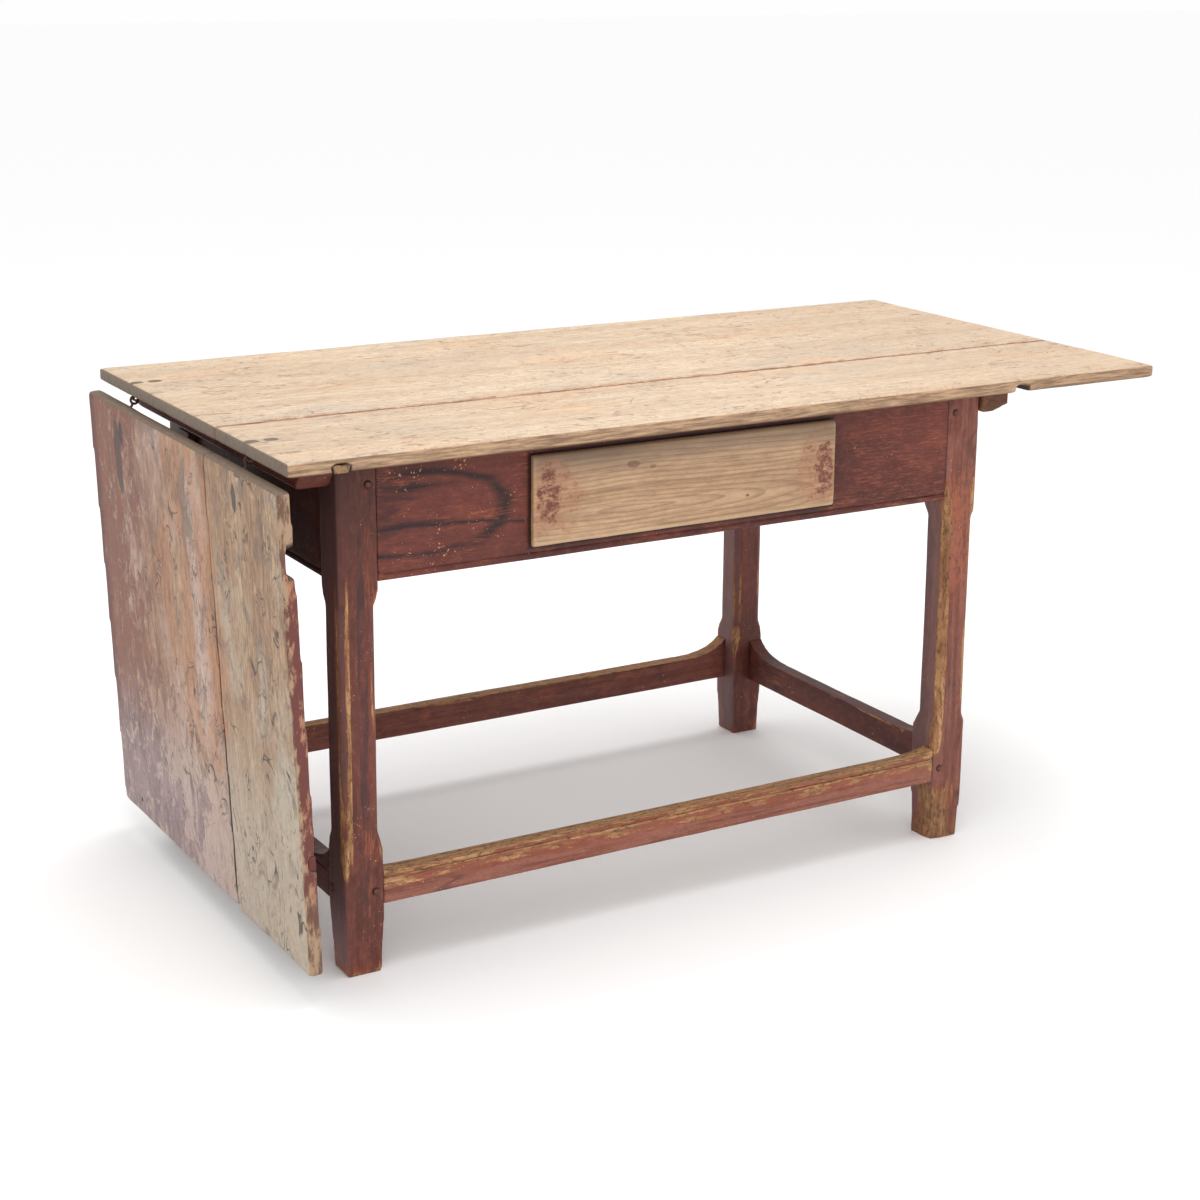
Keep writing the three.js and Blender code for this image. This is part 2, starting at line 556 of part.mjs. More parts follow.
let post = box(pivotX - gate.postThick / 2, pivotX + gate.postThick / 2, postFrom, postTo,
  postLow, postHigh);
let gateLeg = cut(box(gateOuter, gateInner, gateLegNear, gateLegFar, 0, gateTop),
  box(halving - slide, gateInner + 9, gateLegNear - 9, gateLegFar + 9, apronLow - slide * 2,
    gateTop + 9),
  box(halving - slide, gateInner + 9, gateLegNear - 9, gateLegFar + 9,
    stretcher.bottom - slide * 2, flareTop + slide * 2));
for (const [where, span] of Object.entries(gateRails)) {
  const body = join(box(...railX, postTo + fit, gateLegNear - fit, ...span),
    gateTenon(postTo - gateTenonDepth, postTo + 4, span),
    gateTenon(gateLegNear - 4, gateLegNear + gateTenonDepth, span));
  piece(`gate_rail_${where}`, body, finish.paint);
  post = cut(post, gateTenon(postTo - gateTenonDepth, postTo + 9, span, fit));
  gateLeg = cut(gateLeg, gateTenon(gateLegNear - 9, gateLegNear + gateTenonDepth, span, fit));
}
const pinInPost = gate.pinReach + 2;
const pins = {
  top: [postHigh - pinInPost, apronLow + gate.pinReach],
  bottom: [stretcher.bottom + stretcher.height - gate.pinReach, postLow + pinInPost],
};
for (const [where, [z0, z1]] of Object.entries(pins)) {
  piece(`gate_pin_${where}`, rod([pivotX, gate.pivotAt, z0 + fit], [pivotX, gate.pivotAt, z1 - fit],
    gate.pin / 2, 16), finish.peg);
  post = cut(post, pinHole(z0, z1));
}
piece('gate_pivot_post', post, finish.paint);
piece('gate_leg', gateLeg, finish.paint);

// ---- Drawer and what carries it ------------------------------------------------------------------
const boxSide = { x0: window_.x0 + slide, x1: window_.x1 - slide, z0: window_.z0 + slide,
  z1: window_.z1 - slide };
const lipBack = frontFace - fit;
const lipFront = lipBack - drawer.lipThick;
const frontBack = lipFront + drawer.front;
const boxEnd = lipFront + drawer.length;
const floorZ = [boxSide.z0 + 6, boxSide.z0 + 6 + drawer.bottom];
const inner = { x0: boxSide.x0 + drawer.wall, x1: boxSide.x1 - drawer.wall };
const bottomBoard = (grow) => box(inner.x0 - drawer.groove - grow, inner.x1 + drawer.groove + grow,
  frontBack - drawer.groove - grow, boxEnd - drawer.wall + drawer.groove + grow,
  floorZ[0] - grow, floorZ[1] + grow);
const bottomBody = bottomBoard(-fit);
const bottomGroove = bottomBoard(0);

// The front is rabbeted all round: a lip over the apron and a block that enters the window.
const ease = 4;
const lipOutline = [
  [lipFront, apronLow + drawer.low + ease], [lipFront + ease, apronLow + drawer.low],
  [lipBack, apronLow + drawer.low], [lipBack, apronLow + drawer.low + drawer.height],
  [lipFront + ease, apronLow + drawer.low + drawer.height],
  [lipFront, apronLow + drawer.low + drawer.height - ease],
];
piece('drawer_front', cut(join(
  extrude(lipOutline, 'x', window_.x0 - drawer.lip, window_.x1 + drawer.lip),
  box(boxSide.x0, boxSide.x1, lipBack - 2, frontBack, boxSide.z0, boxSide.z1)), bottomGroove),
finish.bare);
for (const [where, x0] of [['left', boxSide.x0], ['right', boxSide.x1 - drawer.wall]]) {
  piece(`drawer_side_${where}`, cut(box(x0, x0 + drawer.wall, frontBack + fit, boxEnd, boxSide.z0,
    boxSide.z1 - 2), bottomGroove), finish.inside);
}
piece('drawer_back', cut(box(inner.x0 + fit, inner.x1 - fit, boxEnd - drawer.wall, boxEnd,
  boxSide.z0, boxSide.z1 - 6), bottomGroove), finish.inside);
piece('drawer_bottom', bottomBody, finish.inside);

const runFrom = frontFace + apron.thick + fit;
const runTo = backFace - apron.thick - fit;
for (const [where, sx, sideX] of [['left', -1, boxSide.x0], ['right', 1, boxSide.x1]]) {
  const inX = sideX - sx * (runner.width - runner.guideWidth);
  const outX = sideX + sx * (runner.guideWidth + slide);
  piece(`drawer_runner_${where}`, box(Math.min(inX, outX), Math.max(inX, outX), runFrom, runTo,
    window_.z0 - runner.height, window_.z0), finish.inside);
  const guideIn = sideX + sx * slide;
  piece(`drawer_guide_${where}`, box(Math.min(guideIn, outX), Math.max(guideIn, outX), runFrom,
    runTo, window_.z0 + fit, window_.z0 + fit + runner.guideHeight), finish.inside);
}

// ---- Origin --------------------------------------------------------------------------------------
const whole = new THREE.Box3().setFromObject(table, true);
const centre = whole.getCenter(new THREE.Vector3());
for (const mesh of table.children) {
  mesh.applyMatrix4(new THREE.Matrix4().makeTranslation(-centre.x, -centre.y, -whole.min.z));
}

export default table;
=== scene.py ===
"""Looks for the gateleg table: worn meshes made from the CAD solids, procedural wood, paint and iron."""
import json
import math

import bmesh
import bpy
import numpy as np
from mathutils import Matrix, Vector


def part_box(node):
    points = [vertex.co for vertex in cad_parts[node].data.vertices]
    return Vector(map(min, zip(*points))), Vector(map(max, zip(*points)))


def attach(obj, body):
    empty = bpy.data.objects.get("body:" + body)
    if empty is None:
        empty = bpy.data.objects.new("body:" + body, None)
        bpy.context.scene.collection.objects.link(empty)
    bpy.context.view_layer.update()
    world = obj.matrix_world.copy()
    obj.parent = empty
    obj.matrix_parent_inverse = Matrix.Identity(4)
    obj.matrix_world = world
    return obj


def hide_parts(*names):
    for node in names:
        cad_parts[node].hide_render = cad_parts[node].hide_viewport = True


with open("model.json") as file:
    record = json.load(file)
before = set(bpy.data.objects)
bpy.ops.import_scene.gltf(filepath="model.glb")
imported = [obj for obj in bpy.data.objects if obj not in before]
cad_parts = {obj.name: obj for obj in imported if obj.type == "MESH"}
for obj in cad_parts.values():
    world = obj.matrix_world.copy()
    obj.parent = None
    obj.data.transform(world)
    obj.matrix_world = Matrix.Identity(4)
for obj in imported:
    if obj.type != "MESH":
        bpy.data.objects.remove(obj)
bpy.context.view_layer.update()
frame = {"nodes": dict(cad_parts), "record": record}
NODES = frame["nodes"]
BODY_OF = {node: body for body, members in frame["record"]["behaviour"]["bodies"].items() for node in members}
MM = 0.001
X, Y, Z = 0, 1, 2


# ---- Noise on points ---------------------------------------------------------------------------------

STRIDES = (374761393, 668265263, 1442695041)
SCRAMBLE = 1274126177
WORD, HALF_WORD = 0xFFFFFFFF, 0xFFFF


def lattice(cells, seed):
    """A repeatable random value from -1 to 1 for each whole-numbered cell."""
    mixed = sum(cell * stride for cell, stride in zip(cells, STRIDES)) + seed * SCRAMBLE & WORD
    mixed = (mixed ^ mixed >> 13) * SCRAMBLE & WORD
    return ((mixed ^ mixed >> 16) & HALF_WORD) / (HALF_WORD / 2) - 1


def noise(points, size, seed=0, octaves=1):
    """Smooth noise from about -1 to 1 at points. size is how big its features are in metres."""
    total = np.zeros(len(points))
    for octave in range(octaves):
        at = points / np.asarray(size) * 2 ** octave + 100
        base = np.floor(at).astype(np.int64)
        f = at - base
        f = f * f * (3 - 2 * f)
        value = 0
        for corner in range(8):
            step = np.array([corner & 1, corner >> 1 & 1, corner >> 2])
            share = np.prod(np.where(step, f, 1 - f), axis=1)
            value = value + share * lattice((base + step).T, seed + octave)
        total += value * 0.5 ** octave
    return total


def fade(value, low, high):
    """0 below low, 1 above high, smooth between."""
    t = np.clip((value - low) / (high - low), 0, 1)
    return t * t * (3 - 2 * t)


# ---- Worn meshes -------------------------------------------------------------------------------------

def points_of(mesh):
    """Where each point is."""
    co = np.zeros(len(mesh.vertices) * 3)
    mesh.vertices.foreach_get("co", co)
    return co.reshape(-1, 3)


def normals_of(mesh):
    """Which way each point faces."""
    n = np.zeros(len(mesh.vertices) * 3)
    mesh.vertices.foreach_get("normal", n)
    return n.reshape(-1, 3)


def relax(co, edges, rounds):
    """co after that many rounds of moving each point to the mean of its neighbours."""
    a, b = edges.T
    count = np.bincount(edges.ravel(), minlength=len(co))[:, None]
    for _ in range(rounds):
        sums = [np.bincount(a, co[b, i], len(co)) + np.bincount(b, co[a, i], len(co)) for i in (X, Y, Z)]
        co = np.stack(sums, 1) / np.maximum(count, 1)
    return co


def edges_of(mesh):
    """The numbers of the two points of each edge."""
    e = np.zeros(len(mesh.edges) * 2, np.int64)
    mesh.edges.foreach_get("vertices", e)
    return e.reshape(-1, 2)


def welded(node):
    """A bmesh of the CAD node with its split vertices joined."""
    bm = bmesh.new()
    bm.from_mesh(NODES[node].data)
    bmesh.ops.remove_doubles(bm, verts=bm.verts, dist=1e-6)
    return bm


def voxel_mesh(node, voxel):
    """The CAD node as an even mesh of small squares, so that wear can shape it."""
    bm = welded(node)
    source = bpy.data.meshes.new(node + "_source")
    bm.to_mesh(source)
    bm.free()
    holder = bpy.data.objects.new(node + "_source", source)
    bpy.context.scene.collection.objects.link(holder)
    remesh = holder.modifiers.new("remesh", "REMESH")
    remesh.mode = "VOXEL"
    remesh.voxel_size = voxel
    evaluated = holder.evaluated_get(bpy.context.evaluated_depsgraph_get())
    mesh = bpy.data.meshes.new_from_object(evaluated)
    bpy.data.objects.remove(holder)
    bpy.data.meshes.remove(source)
    return mesh


def cut_mesh(node, pitch, insets):
    """The CAD node cut by planes: evenly along it, and close together beside its outer faces."""
    bm = welded(node)
    low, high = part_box(node)
    for axis in range(3):
        normal = Vector([float(i == axis) for i in range(3)])
        places = list(np.arange(low[axis] + pitch, high[axis] - pitch / 2, pitch))
        places += [low[axis] + d for d in insets] + [high[axis] - d for d in insets]
        for place in places:
            if low[axis] < place < high[axis]:
                geometry = bm.verts[:] + bm.edges[:] + bm.faces[:]
                bmesh.ops.bisect_plane(bm, geom=geometry, dist=1e-6, plane_co=normal * place, plane_no=normal)
    bmesh.ops.triangulate(bm, faces=[f for f in bm.faces if len(f.verts) > 4])
    mesh = bpy.data.meshes.new(node + "_cut")
    bm.to_mesh(mesh)
    bm.free()
    return mesh


def attribute(mesh, name, values):
    """Gives the mesh one number for each point, for a material to read."""
    mesh.attributes.new(name, "FLOAT", "POINT").data.foreach_set("value", values.astype(np.float32))


# How large the uneven patches of wear, the chips and the slow sways of a face are.
PATCH_SIZE, CHIP_SIZE, SWAY_SIZE = 60 * MM, 22 * MM, 130 * MM


def wear_piece(node, mesh, rounding=4, soft=14, patchy=0.6, chips=0.0, sway=0.3 * MM, seed=0, sculpt=None,
               wear_range=(0.15, 1.1)):
    """Makes the visible piece of a CAD node. Its edges are rounded unevenly, its faces sway a little, and
    attributes say where it sticks out (wear) and where it is hollow (dirt), next to a shape that is relaxed
    for soft more rounds. sculpt may change the shape further, and says where that bares the wood."""
    co = points_of(mesh)
    edges = edges_of(mesh)
    normals = normals_of(mesh)
    spread = np.linalg.norm(co[edges[:, 0]] - co[edges[:, 1]], axis=1).mean()
    smooth = relax(co, edges, rounding)
    softer = relax(smooth, edges, soft)
    proud = np.einsum("ij,ij->i", co - softer, normals)
    patch = 0.5 + patchy * noise(co, PATCH_SIZE, seed, 2)
    share = np.clip(patch, 0.15, 1)[:, None]
    shaped = co + (smooth - co) * share
    if chips:
        chipped = fade(noise(co, CHIP_SIZE, seed + 5, 2), 0.5, 0.8)[:, None] * chips
        shaped = shaped + (softer - shaped) * chipped
    shaped = shaped + normals * (sway * noise(co, SWAY_SIZE, seed + 9, 2))[:, None]
    wear = fade(proud / spread, *wear_range)
    if sculpt:
        shaped, bared = sculpt(shaped, co)
        wear = np.maximum(wear, 2 * bared)
    mesh.vertices.foreach_set("co", shaped.ravel())
    attribute(mesh, "wear", wear)
    attribute(mesh, "dirt", fade(-proud / spread, 0.1, 0.9))
    mesh.update()
    piece = bpy.data.objects.new(node + "_worn", mesh)
    bpy.context.scene.collection.objects.link(piece)
    mesh.shade_smooth()
    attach(piece, BODY_OF[node])
    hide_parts(node)
    return piece


# ---- Material building -------------------------------------------------------------------------------

def colour(red, green, blue):
    """A shader colour from the 0 to 255 values that a screen shows."""
    parts = [v / 255 for v in (red, green, blue)]
    return tuple(v / 12.92 if v <= 0.04045 else ((v + 0.055) / 1.055) ** 2.4 for v in parts) + (1.0,)


class Graph:
    """One procedural material: each method adds a node and returns its output."""

    def __init__(self, name):
        self.material = bpy.data.materials.new(name)
        self.material.use_nodes = True
        self.tree = self.material.node_tree
        self.shader = self.tree.nodes["Principled BSDF"]
        place = self.tree.nodes.new("ShaderNodeTexCoord")
        self.point = place.outputs["Object"]
        self.normal = place.outputs["Normal"]

    def put(self, value, socket):
        """Links an output to the socket, or sets the socket to a number or a colour."""
        if isinstance(value, bpy.types.NodeSocket):
            self.tree.links.new(value, socket)
        else:
            socket.default_value = value

    def math(self, operation, a, b=0.0):
        node = self.tree.nodes.new("ShaderNodeMath")
        node.operation = operation
        self.put(a, node.inputs[0])
        self.put(b, node.inputs[1])
        return node.outputs[0]

    def add(self, a, b):
        return self.math("ADD", a, b)

    def times(self, a, b):
        return self.math("MULTIPLY", a, b)

    def minus(self, a, b):
        return self.math("SUBTRACT", a, b)

    def apart(self, a, b):
        """How far apart two values are."""
        return self.math("ABSOLUTE", self.minus(a, b))

    def length(self, a, b):
        """How long an arrow is that reaches a one way and b the other."""
        return self.math("SQRT", self.add(self.times(a, a), self.times(b, b)))

    def most(self, a, b):
        return self.math("MAXIMUM", a, b)

    def least(self, a, b):
        return self.math("MINIMUM", a, b)

    def fade(self, value, low, high):
        """0 at low, 1 at high, smooth between; low may be the larger."""
        node = self.tree.nodes.new("ShaderNodeMapRange")
        node.interpolation_type = "SMOOTHSTEP"
        self.put(value, node.inputs["Value"])
        flip = low > high
        self.put(min(low, high), node.inputs["From Min"])
        self.put(max(low, high), node.inputs["From Max"])
        self.put(1.0 if flip else 0.0, node.inputs["To Min"])
        self.put(0.0 if flip else 1.0, node.inputs["To Max"])
        return node.outputs["Result"]

    def mix(self, share, a, b, blend="MIX"):
        """The colour a, with a share of b over it."""
        node = self.tree.nodes.new("ShaderNodeMix")
        node.data_type = "RGBA"
        node.blend_type = blend
        self.put(share, node.inputs["Factor"])
        self.put(a, node.inputs[6])
        self.put(b, node.inputs[7])
        return node.outputs[2]

    def tint(self, base, share, amount, screen):
        """base with some of a screen colour over it: share says where, amount how much."""
        return self.mix(self.times(share, amount), base, colour(*screen))

    def shade(self, base, value, depth):
        """base made darker and lighter by noise, with depth as how strong that is."""
        factor = self.add(self.times(value, depth), 1 - depth / 2)
        return self.mix(1.0, base, self.join(factor, factor, factor), "MULTIPLY")

    def place(self, scale=(1, 1, 1), shift=(0, 0, 0)):
        """The point on the piece, stretched and shifted."""
        node = self.tree.nodes.new("ShaderNodeMapping")
        self.put(self.point, node.inputs["Vector"])
        self.put(scale, node.inputs["Scale"])
        self.put(shift, node.inputs["Location"])
        return node.outputs["Vector"]

    def noise(self, point, size, detail=3.0, rough=0.55, twist=0.0):
        """Noise from 0 to 1 with features of that size in metres."""
        node = self.tree.nodes.new("ShaderNodeTexNoise")
        self.put(point, node.inputs["Vector"])
        self.put(1 / size, node.inputs["Scale"])
        self.put(detail, node.inputs["Detail"])
        self.put(rough, node.inputs["Roughness"])
        self.put(twist, node.inputs["Distortion"])
        return node.outputs["Fac"]

    def cells(self, point, size):
        """How far the nearest of many scattered points is, as a share of size."""
        node = self.tree.nodes.new("ShaderNodeTexVoronoi")
        self.put(point, node.inputs["Vector"])
        self.put(1 / size, node.inputs["Scale"])
        return node.outputs["Distance"]

    def split(self, vector):
        """The x, y and z of a vector."""
        node = self.tree.nodes.new("ShaderNodeSeparateXYZ")
        self.put(vector, node.inputs[0])
        return node.outputs

    def join(self, x, y, z):
        node = self.tree.nodes.new("ShaderNodeCombineXYZ")
        for value, socket in zip((x, y, z), node.inputs):
            self.put(value, socket)
        return node.outputs[0]

    def attribute(self, name):
        """The number that the mesh gives each point under that name."""
        node = self.tree.nodes.new("ShaderNodeAttribute")
        node.attribute_name = name
        return node.outputs["Fac"]

    def blob(self, centre, size, ragged=0.35, grain=0.03):
        """1 inside a ragged-edged oval at centre, 0 outside. An axis with no size is left out."""
        parts = self.split(self.point)
        total = 0.0
        for part, middle, half in zip(parts, centre, size):
            if half:
                away = self.times(self.minus(part, middle), 1 / half)
                total = self.add(self.times(away, away), total)
        edge = self.times(self.minus(self.noise(self.point, grain, 4), 0.5), 4 * ragged)
        return self.fade(self.add(total, edge), 1.25, 0.75)

    def finish(self, base, rough, height, depth, strength):
        """The material, with its colour, roughness and bump set."""
        self.put(base, self.shader.inputs["Base Color"])
        self.put(rough, self.shader.inputs["Roughness"])
        bump = self.tree.nodes.new("ShaderNodeBump")
        self.put(strength, bump.inputs["Strength"])
        self.put(depth, bump.inputs["Distance"])
        self.put(height, bump.inputs["Height"])
        self.put(bump.outputs["Normal"], self.shader.inputs["Normal"])
        return self.material


def along(axis, share):
    """Scale that squeezes one axis, so that noise comes out as streaks along it."""
    return tuple(share if i == axis else 1.0 for i in (X, Y, Z))


def wood(g, axis, seed, tones, rings=9 * MM, contrast=1.0, bow=None):
    """Colour and height of sawn pine with its grain along axis: tone bands, growth lines, fibres and flecks.
    tones are its light, middle and dark colours, rings how far apart its growth lines are, and bow the
    middle of a cathedral figure and how long that is for its width."""
    light, mid, dark = (colour(*tone) for tone in tones)
    shift = (seed * 3.1, seed * 1.7, seed * 2.3)
    bands = g.noise(g.place(along(axis, 0.08), shift), 70 * MM, 2, 0.5, 0.4)
    streaks = g.noise(g.place(along(axis, 0.035), shift), 9 * MM, 4, 0.6)
    fibres = g.noise(g.place(along(axis, 0.03), shift), 1.6 * MM, 2, 0.6)
    parts = g.split(g.point)
    one, other = (i for i in (X, Y, Z) if i != axis)
    across = g.add(parts[one], parts[other])
    wander = g.times(g.noise(g.place(along(axis, 0.22), shift), 120 * MM, 3, 0.5), 110 * MM)
    if bow:
        (middle_along, middle_across), stretch = bow
        u = g.times(g.minus(parts[axis], middle_along), 1 / stretch)
        v = g.minus(across, middle_across)
        across = g.length(u, v)
        wander = g.times(wander, 0.35)
    phase = g.times(g.add(across, wander), 1 / rings)
    growth = g.math("FRACT", phase)
    line = g.times(g.fade(growth, 0.45, 0.93), g.fade(growth, 1.0, 0.95))
    base = g.mix(g.fade(bands, 0.3, 0.7), mid, light)
    base = g.mix(g.times(g.fade(streaks, 0.42, 0.75), 0.55 * contrast), base, dark)
    base = g.mix(g.times(line, 0.4 * contrast), base, dark)
    base = g.mix(g.times(g.fade(fibres, 0.5, 0.8), 0.35 * contrast), base, dark)
    wearing = g.noise(g.place(along(axis, 0.35), shift), 10 * MM, 6, 0.75, 0.5)
    base = g.shade(base, wearing, 0.9 * contrast)
    height = g.add(g.times(line, 0.5), g.add(g.times(streaks, 0.35), g.times(fibres, 0.5)))
    return base, g.add(height, g.times(wearing, 0.5))


def flecks(g, axis, seed, size, amount, stretch=0.22):
    """Short dashes and tool marks lying with the grain."""
    spots = g.noise(g.place(along(axis, stretch), (seed * 5.3, seed, seed)), size, 3, 0.65, 1.2)
    groups = g.noise(g.place(along(axis, 0.4), (seed, seed * 2.9, 0)), 160 * MM, 2)
    return g.times(g.fade(spots, 0.62 - amount, 0.70 - amount), g.fade(groups, 0.3, 0.62))


def scratches(g, scale, seed, width=0.035):
    """Thin curved dark lines, where a slow wave crosses its middle."""
    wave = g.noise(g.place(scale, (seed, seed * 1.3, seed * 0.7)), 55 * MM, 1, 0.4, 1.6)
    here = g.noise(g.place(shift=(seed * 2, 0, seed)), 75 * MM, 3, 0.6)
    return g.times(g.fade(g.apart(wave, 0.5), width, width * 0.25), g.fade(here, 0.56, 0.66))


def crisp_grain(g, axis):
    """Fine sharp-edged mottling that keeps bare wood from looking soft."""
    return g.noise(g.place(along(axis, 0.5), (2, 4, 6)), 7 * MM, 8, 0.8)


def faces_along(g, axis, way, start=0.35, end=0.7):
    """1 on faces whose normal points along an axis, that way."""
    return g.fade(g.times(g.split(g.normal)[axis], float(way)), start, end)


def both_ends(g, axis):
    """1 on the faces at both ends of an axis."""
    return g.most(faces_along(g, axis, -1), faces_along(g, axis, 1))


def grime(g, base, share=0.9):
    """base with dirt left in its hollows."""
    return g.tint(base, g.attribute("dirt"), share, (38, 27, 23))


# ---- The top -----------------------------------------------------------------------------------------

top_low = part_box("top_plank_back")[0]
leaf_low, leaf_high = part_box("leaf_plank_back")
seam = top_low.y
hinge_rows = [sum(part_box(f"hinge_eye_{side}")[i].y for i in (0, 1)) / 2 for side in ("front", "back")]


def ring_stain(g, mottle):
    """A pot's ring near the back of the top, worn to broken arcs."""
    x, y, _ = g.split(g.point)
    middle_x, middle_y, radius, width = 0.294, 0.22, 47 * MM, 10 * MM
    away = g.length(g.minus(x, middle_x), g.minus(y, middle_y))
    ring = g.fade(g.apart(away, radius), width, width / 10)
    return g.times(ring, g.times(g.fade(mottle, 0.35, 0.65), 0.6))


def end_crack(g):
    """The crack that runs in from the top's left end, a little askew to the grain."""
    x, y, _ = g.split(g.point)
    start_y, slope, length = -38 * MM, -0.11, 63 * MM
    from_end = g.minus(x, top_low.x)
    wander = g.times(g.noise(g.place(along(Y, 0.01)), 20 * MM, 2), 4 * MM)
    crack_y = g.add(g.times(from_end, slope), g.add(start_y, wander))
    crack = g.fade(g.apart(y, crack_y), 1.8 * MM, 0.6 * MM)
    return g.times(crack, g.fade(from_end, length, length * 0.7))


def seam_and_staples(g, base):
    """The joint between the planks with brown crumbs beside it, and stains where the staples are clinched."""
    from_seam = g.apart(g.split(g.point)[Y], seam)
    crumbs = g.noise(g.place(along(X, 0.5)), 9 * MM, 3, 0.7)
    crumbly = g.times(g.fade(from_seam, 18 * MM, 2 * MM), g.fade(crumbs, 0.42, 0.6))
    base = g.mix(crumbly, base, colour(160, 104, 68))
    base = g.mix(g.fade(from_seam, 4.8 * MM, 2.2 * MM), base, colour(84, 48, 32))
    first_bar, bar_gap = 10 * MM, 29 * MM
    for row in hinge_rows:
        for reach in (first_bar, first_bar + bar_gap):
            stain = g.blob((top_low.x + reach, row, 0), (11 * MM, 9 * MM, 0), 0.25, 8 * MM)
            base = g.tint(base, stain, 0.8, (62, 50, 48))
    return base


def top_edges(g, base, clouds, end_grain):
    """End grain, the weathered front edge, the brown underside and the ends of the batten slots."""
    base = g.mix(both_ends(g, X), base, g.mix(end_grain, colour(66, 54, 46), colour(140, 120, 100)))
    edge_streaks = g.noise(g.place(along(X, 0.08)), 5 * MM, 4, 0.7)
    edge_tone = g.mix(g.fade(edge_streaks, 0.35, 0.65), colour(112, 78, 54), colour(188, 152, 116))
    base = g.mix(g.times(faces_along(g, Y, -1), 0.85), base, edge_tone)
    under_tone = g.mix(clouds, colour(96, 66, 46), colour(134, 100, 70))
    base = g.mix(g.times(faces_along(g, Z, -1), 0.85), base, under_tone)
    x, _, z = g.split(g.point)
    tongue_shift, slot_half, slot_height = 13 * MM, 14.5 * MM, 11 * MM
    for batten in ("top_batten_left", "top_batten_right"):
        low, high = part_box(batten)
        from_tongue = g.apart(x, (low.x + high.x) / 2 + tongue_shift)
        slot = g.fade(from_tongue, slot_half + 1 * MM, slot_half - 1 * MM)
        slot_top = top_low.z + slot_height
        slot = g.times(slot, g.fade(z, slot_top + 1.5 * MM, slot_top - 1.5 * MM))
        base = g.tint(base, slot, 0.9, (48, 34, 28))
    return base


def scrubbed_top():
    """Pale scrubbed boards: warm tan, orange-brown flecks with the grain, grey cloudy zones, a faint ring."""
    g = Graph("scrubbed_pine")
    tones = (203, 182, 156), (188, 164, 137), (150, 118, 90)
    base, height = wood(g, X, 1, tones, 11 * MM, 0.6)

    # Broad changes of tone, duller towards the right end.
    clouds = g.noise(g.place(along(X, 0.45)), 140 * MM, 3)
    base = g.tint(base, g.fade(clouds, 0.48, 0.7), 0.5, (172, 158, 142))
    warm = g.noise(g.place(along(X, 0.3), (4, 1, 2)), 90 * MM, 3)
    base = g.tint(base, g.fade(warm, 0.5, 0.75), 0.5, (202, 160, 120))
    mottle = g.noise(g.place(along(X, 0.4), (7, 2, 1)), 16 * MM, 5, 0.7, 0.6)
    base = g.tint(base, g.fade(mottle, 0.5, 0.7), 0.5, (158, 126, 98))
    base = g.tint(base, g.fade(mottle, 0.45, 0.3), 0.35, (220, 200, 172))
    base = g.shade(base, crisp_grain(g, X), 0.75)
    base = g.tint(base, g.fade(g.split(g.point)[X], 0.1, 0.7), 0.3, (176, 150, 124))

    # Marks of use.
    marks = flecks(g, X, 2, 14 * MM, 0.03, 0.4)
    base = g.tint(base, marks, 0.75, (138, 98, 70))
    small = flecks(g, X, 7, 6 * MM, 0.03, 0.5)
    base = g.tint(base, small, 0.7, (108, 80, 60))
    scratch = g.most(scratches(g, (0.5, 1, 1), 3, 0.03), scratches(g, (0.35, 1.3, 1), 8, 0.025))
    base = g.tint(base, scratch, 0.55, (116, 90, 72))
    base = g.mix(ring_stain(g, mottle), base, colour(166, 112, 84))
    base = g.tint(base, end_crack(g), 0.85, (70, 48, 38))
    base = seam_and_staples(g, base)

    end_grain = g.noise(g.place((1, 1, 0.25)), 3 * MM, 3, 0.7)
    base = top_edges(g, base, clouds, end_grain)
    height = g.add(height, g.times(g.add(marks, g.add(small, scratch)), -0.8))
    height = g.minus(height, g.times(both_ends(g, X), g.times(end_grain, 1.5)))
    rough = g.add(0.56, g.times(clouds, 0.2))
    return g.finish(grime(g, base), rough, height, 0.5 * MM, 0.6)


# ---- The leaf ----------------------------------------------------------------------------------------

LEAF_LEAN = math.radians(2.4)


def leaf_depth(g):
    """How far a point lies behind the hanging leaf's outer face."""
    x, _, z = g.split(g.point)
    face = g.times(g.minus(z, leaf_high.z), -math.tan(LEAF_LEAN))
    return g.minus(g.minus(x, leaf_low.x), face)


def leaf_ground(g, base, mottle, clouds):
    """The bare, weathered wood of the leaf's outer face: brown, pale, grey and amber zones, dark smudges."""
    _, y, z = g.split(g.point)
    brown = g.noise(g.place(along(Z, 0.2), (2, 9, 4)), 46 * MM, 4, 0.6)
    base = g.tint(base, g.fade(brown, 0.5, 0.7), 0.5, (140, 104, 76))
    base = g.tint(base, g.fade(mottle, 0.48, 0.66), 0.65, (124, 94, 72))
    base = g.tint(base, g.fade(mottle, 0.46, 0.3), 0.45, (204, 178, 146))
    greyed = g.most(g.fade(clouds, 0.45, 0.65), g.times(g.fade(z, 0.42, 0.16), 0.85))
    back_board = g.fade(y, seam - 20 * MM, seam + 20 * MM)
    grey = g.mix(back_board, colour(184, 176, 160), colour(192, 172, 164))
    base = g.mix(g.times(greyed, g.add(0.3, g.times(mottle, 0.75))), base, grey)
    amber = g.times(g.blob((0, -0.03, 0.5), (0, 0.13, 0.3), 0.6, 60 * MM), g.fade(brown, 0.35, 0.6))
    base = g.tint(base, amber, 0.6, (174, 118, 78))
    smudge = g.noise(g.place(along(Z, 0.6), (5, 5, 9)), 42 * MM, 5, 0.7, 0.8)
    smudge = g.fade(g.add(smudge, g.times(g.fade(z, 0.25, 0.45), 0.06)), 0.54, 0.68)
    return g.tint(base, smudge, 0.62, (104, 88, 78))


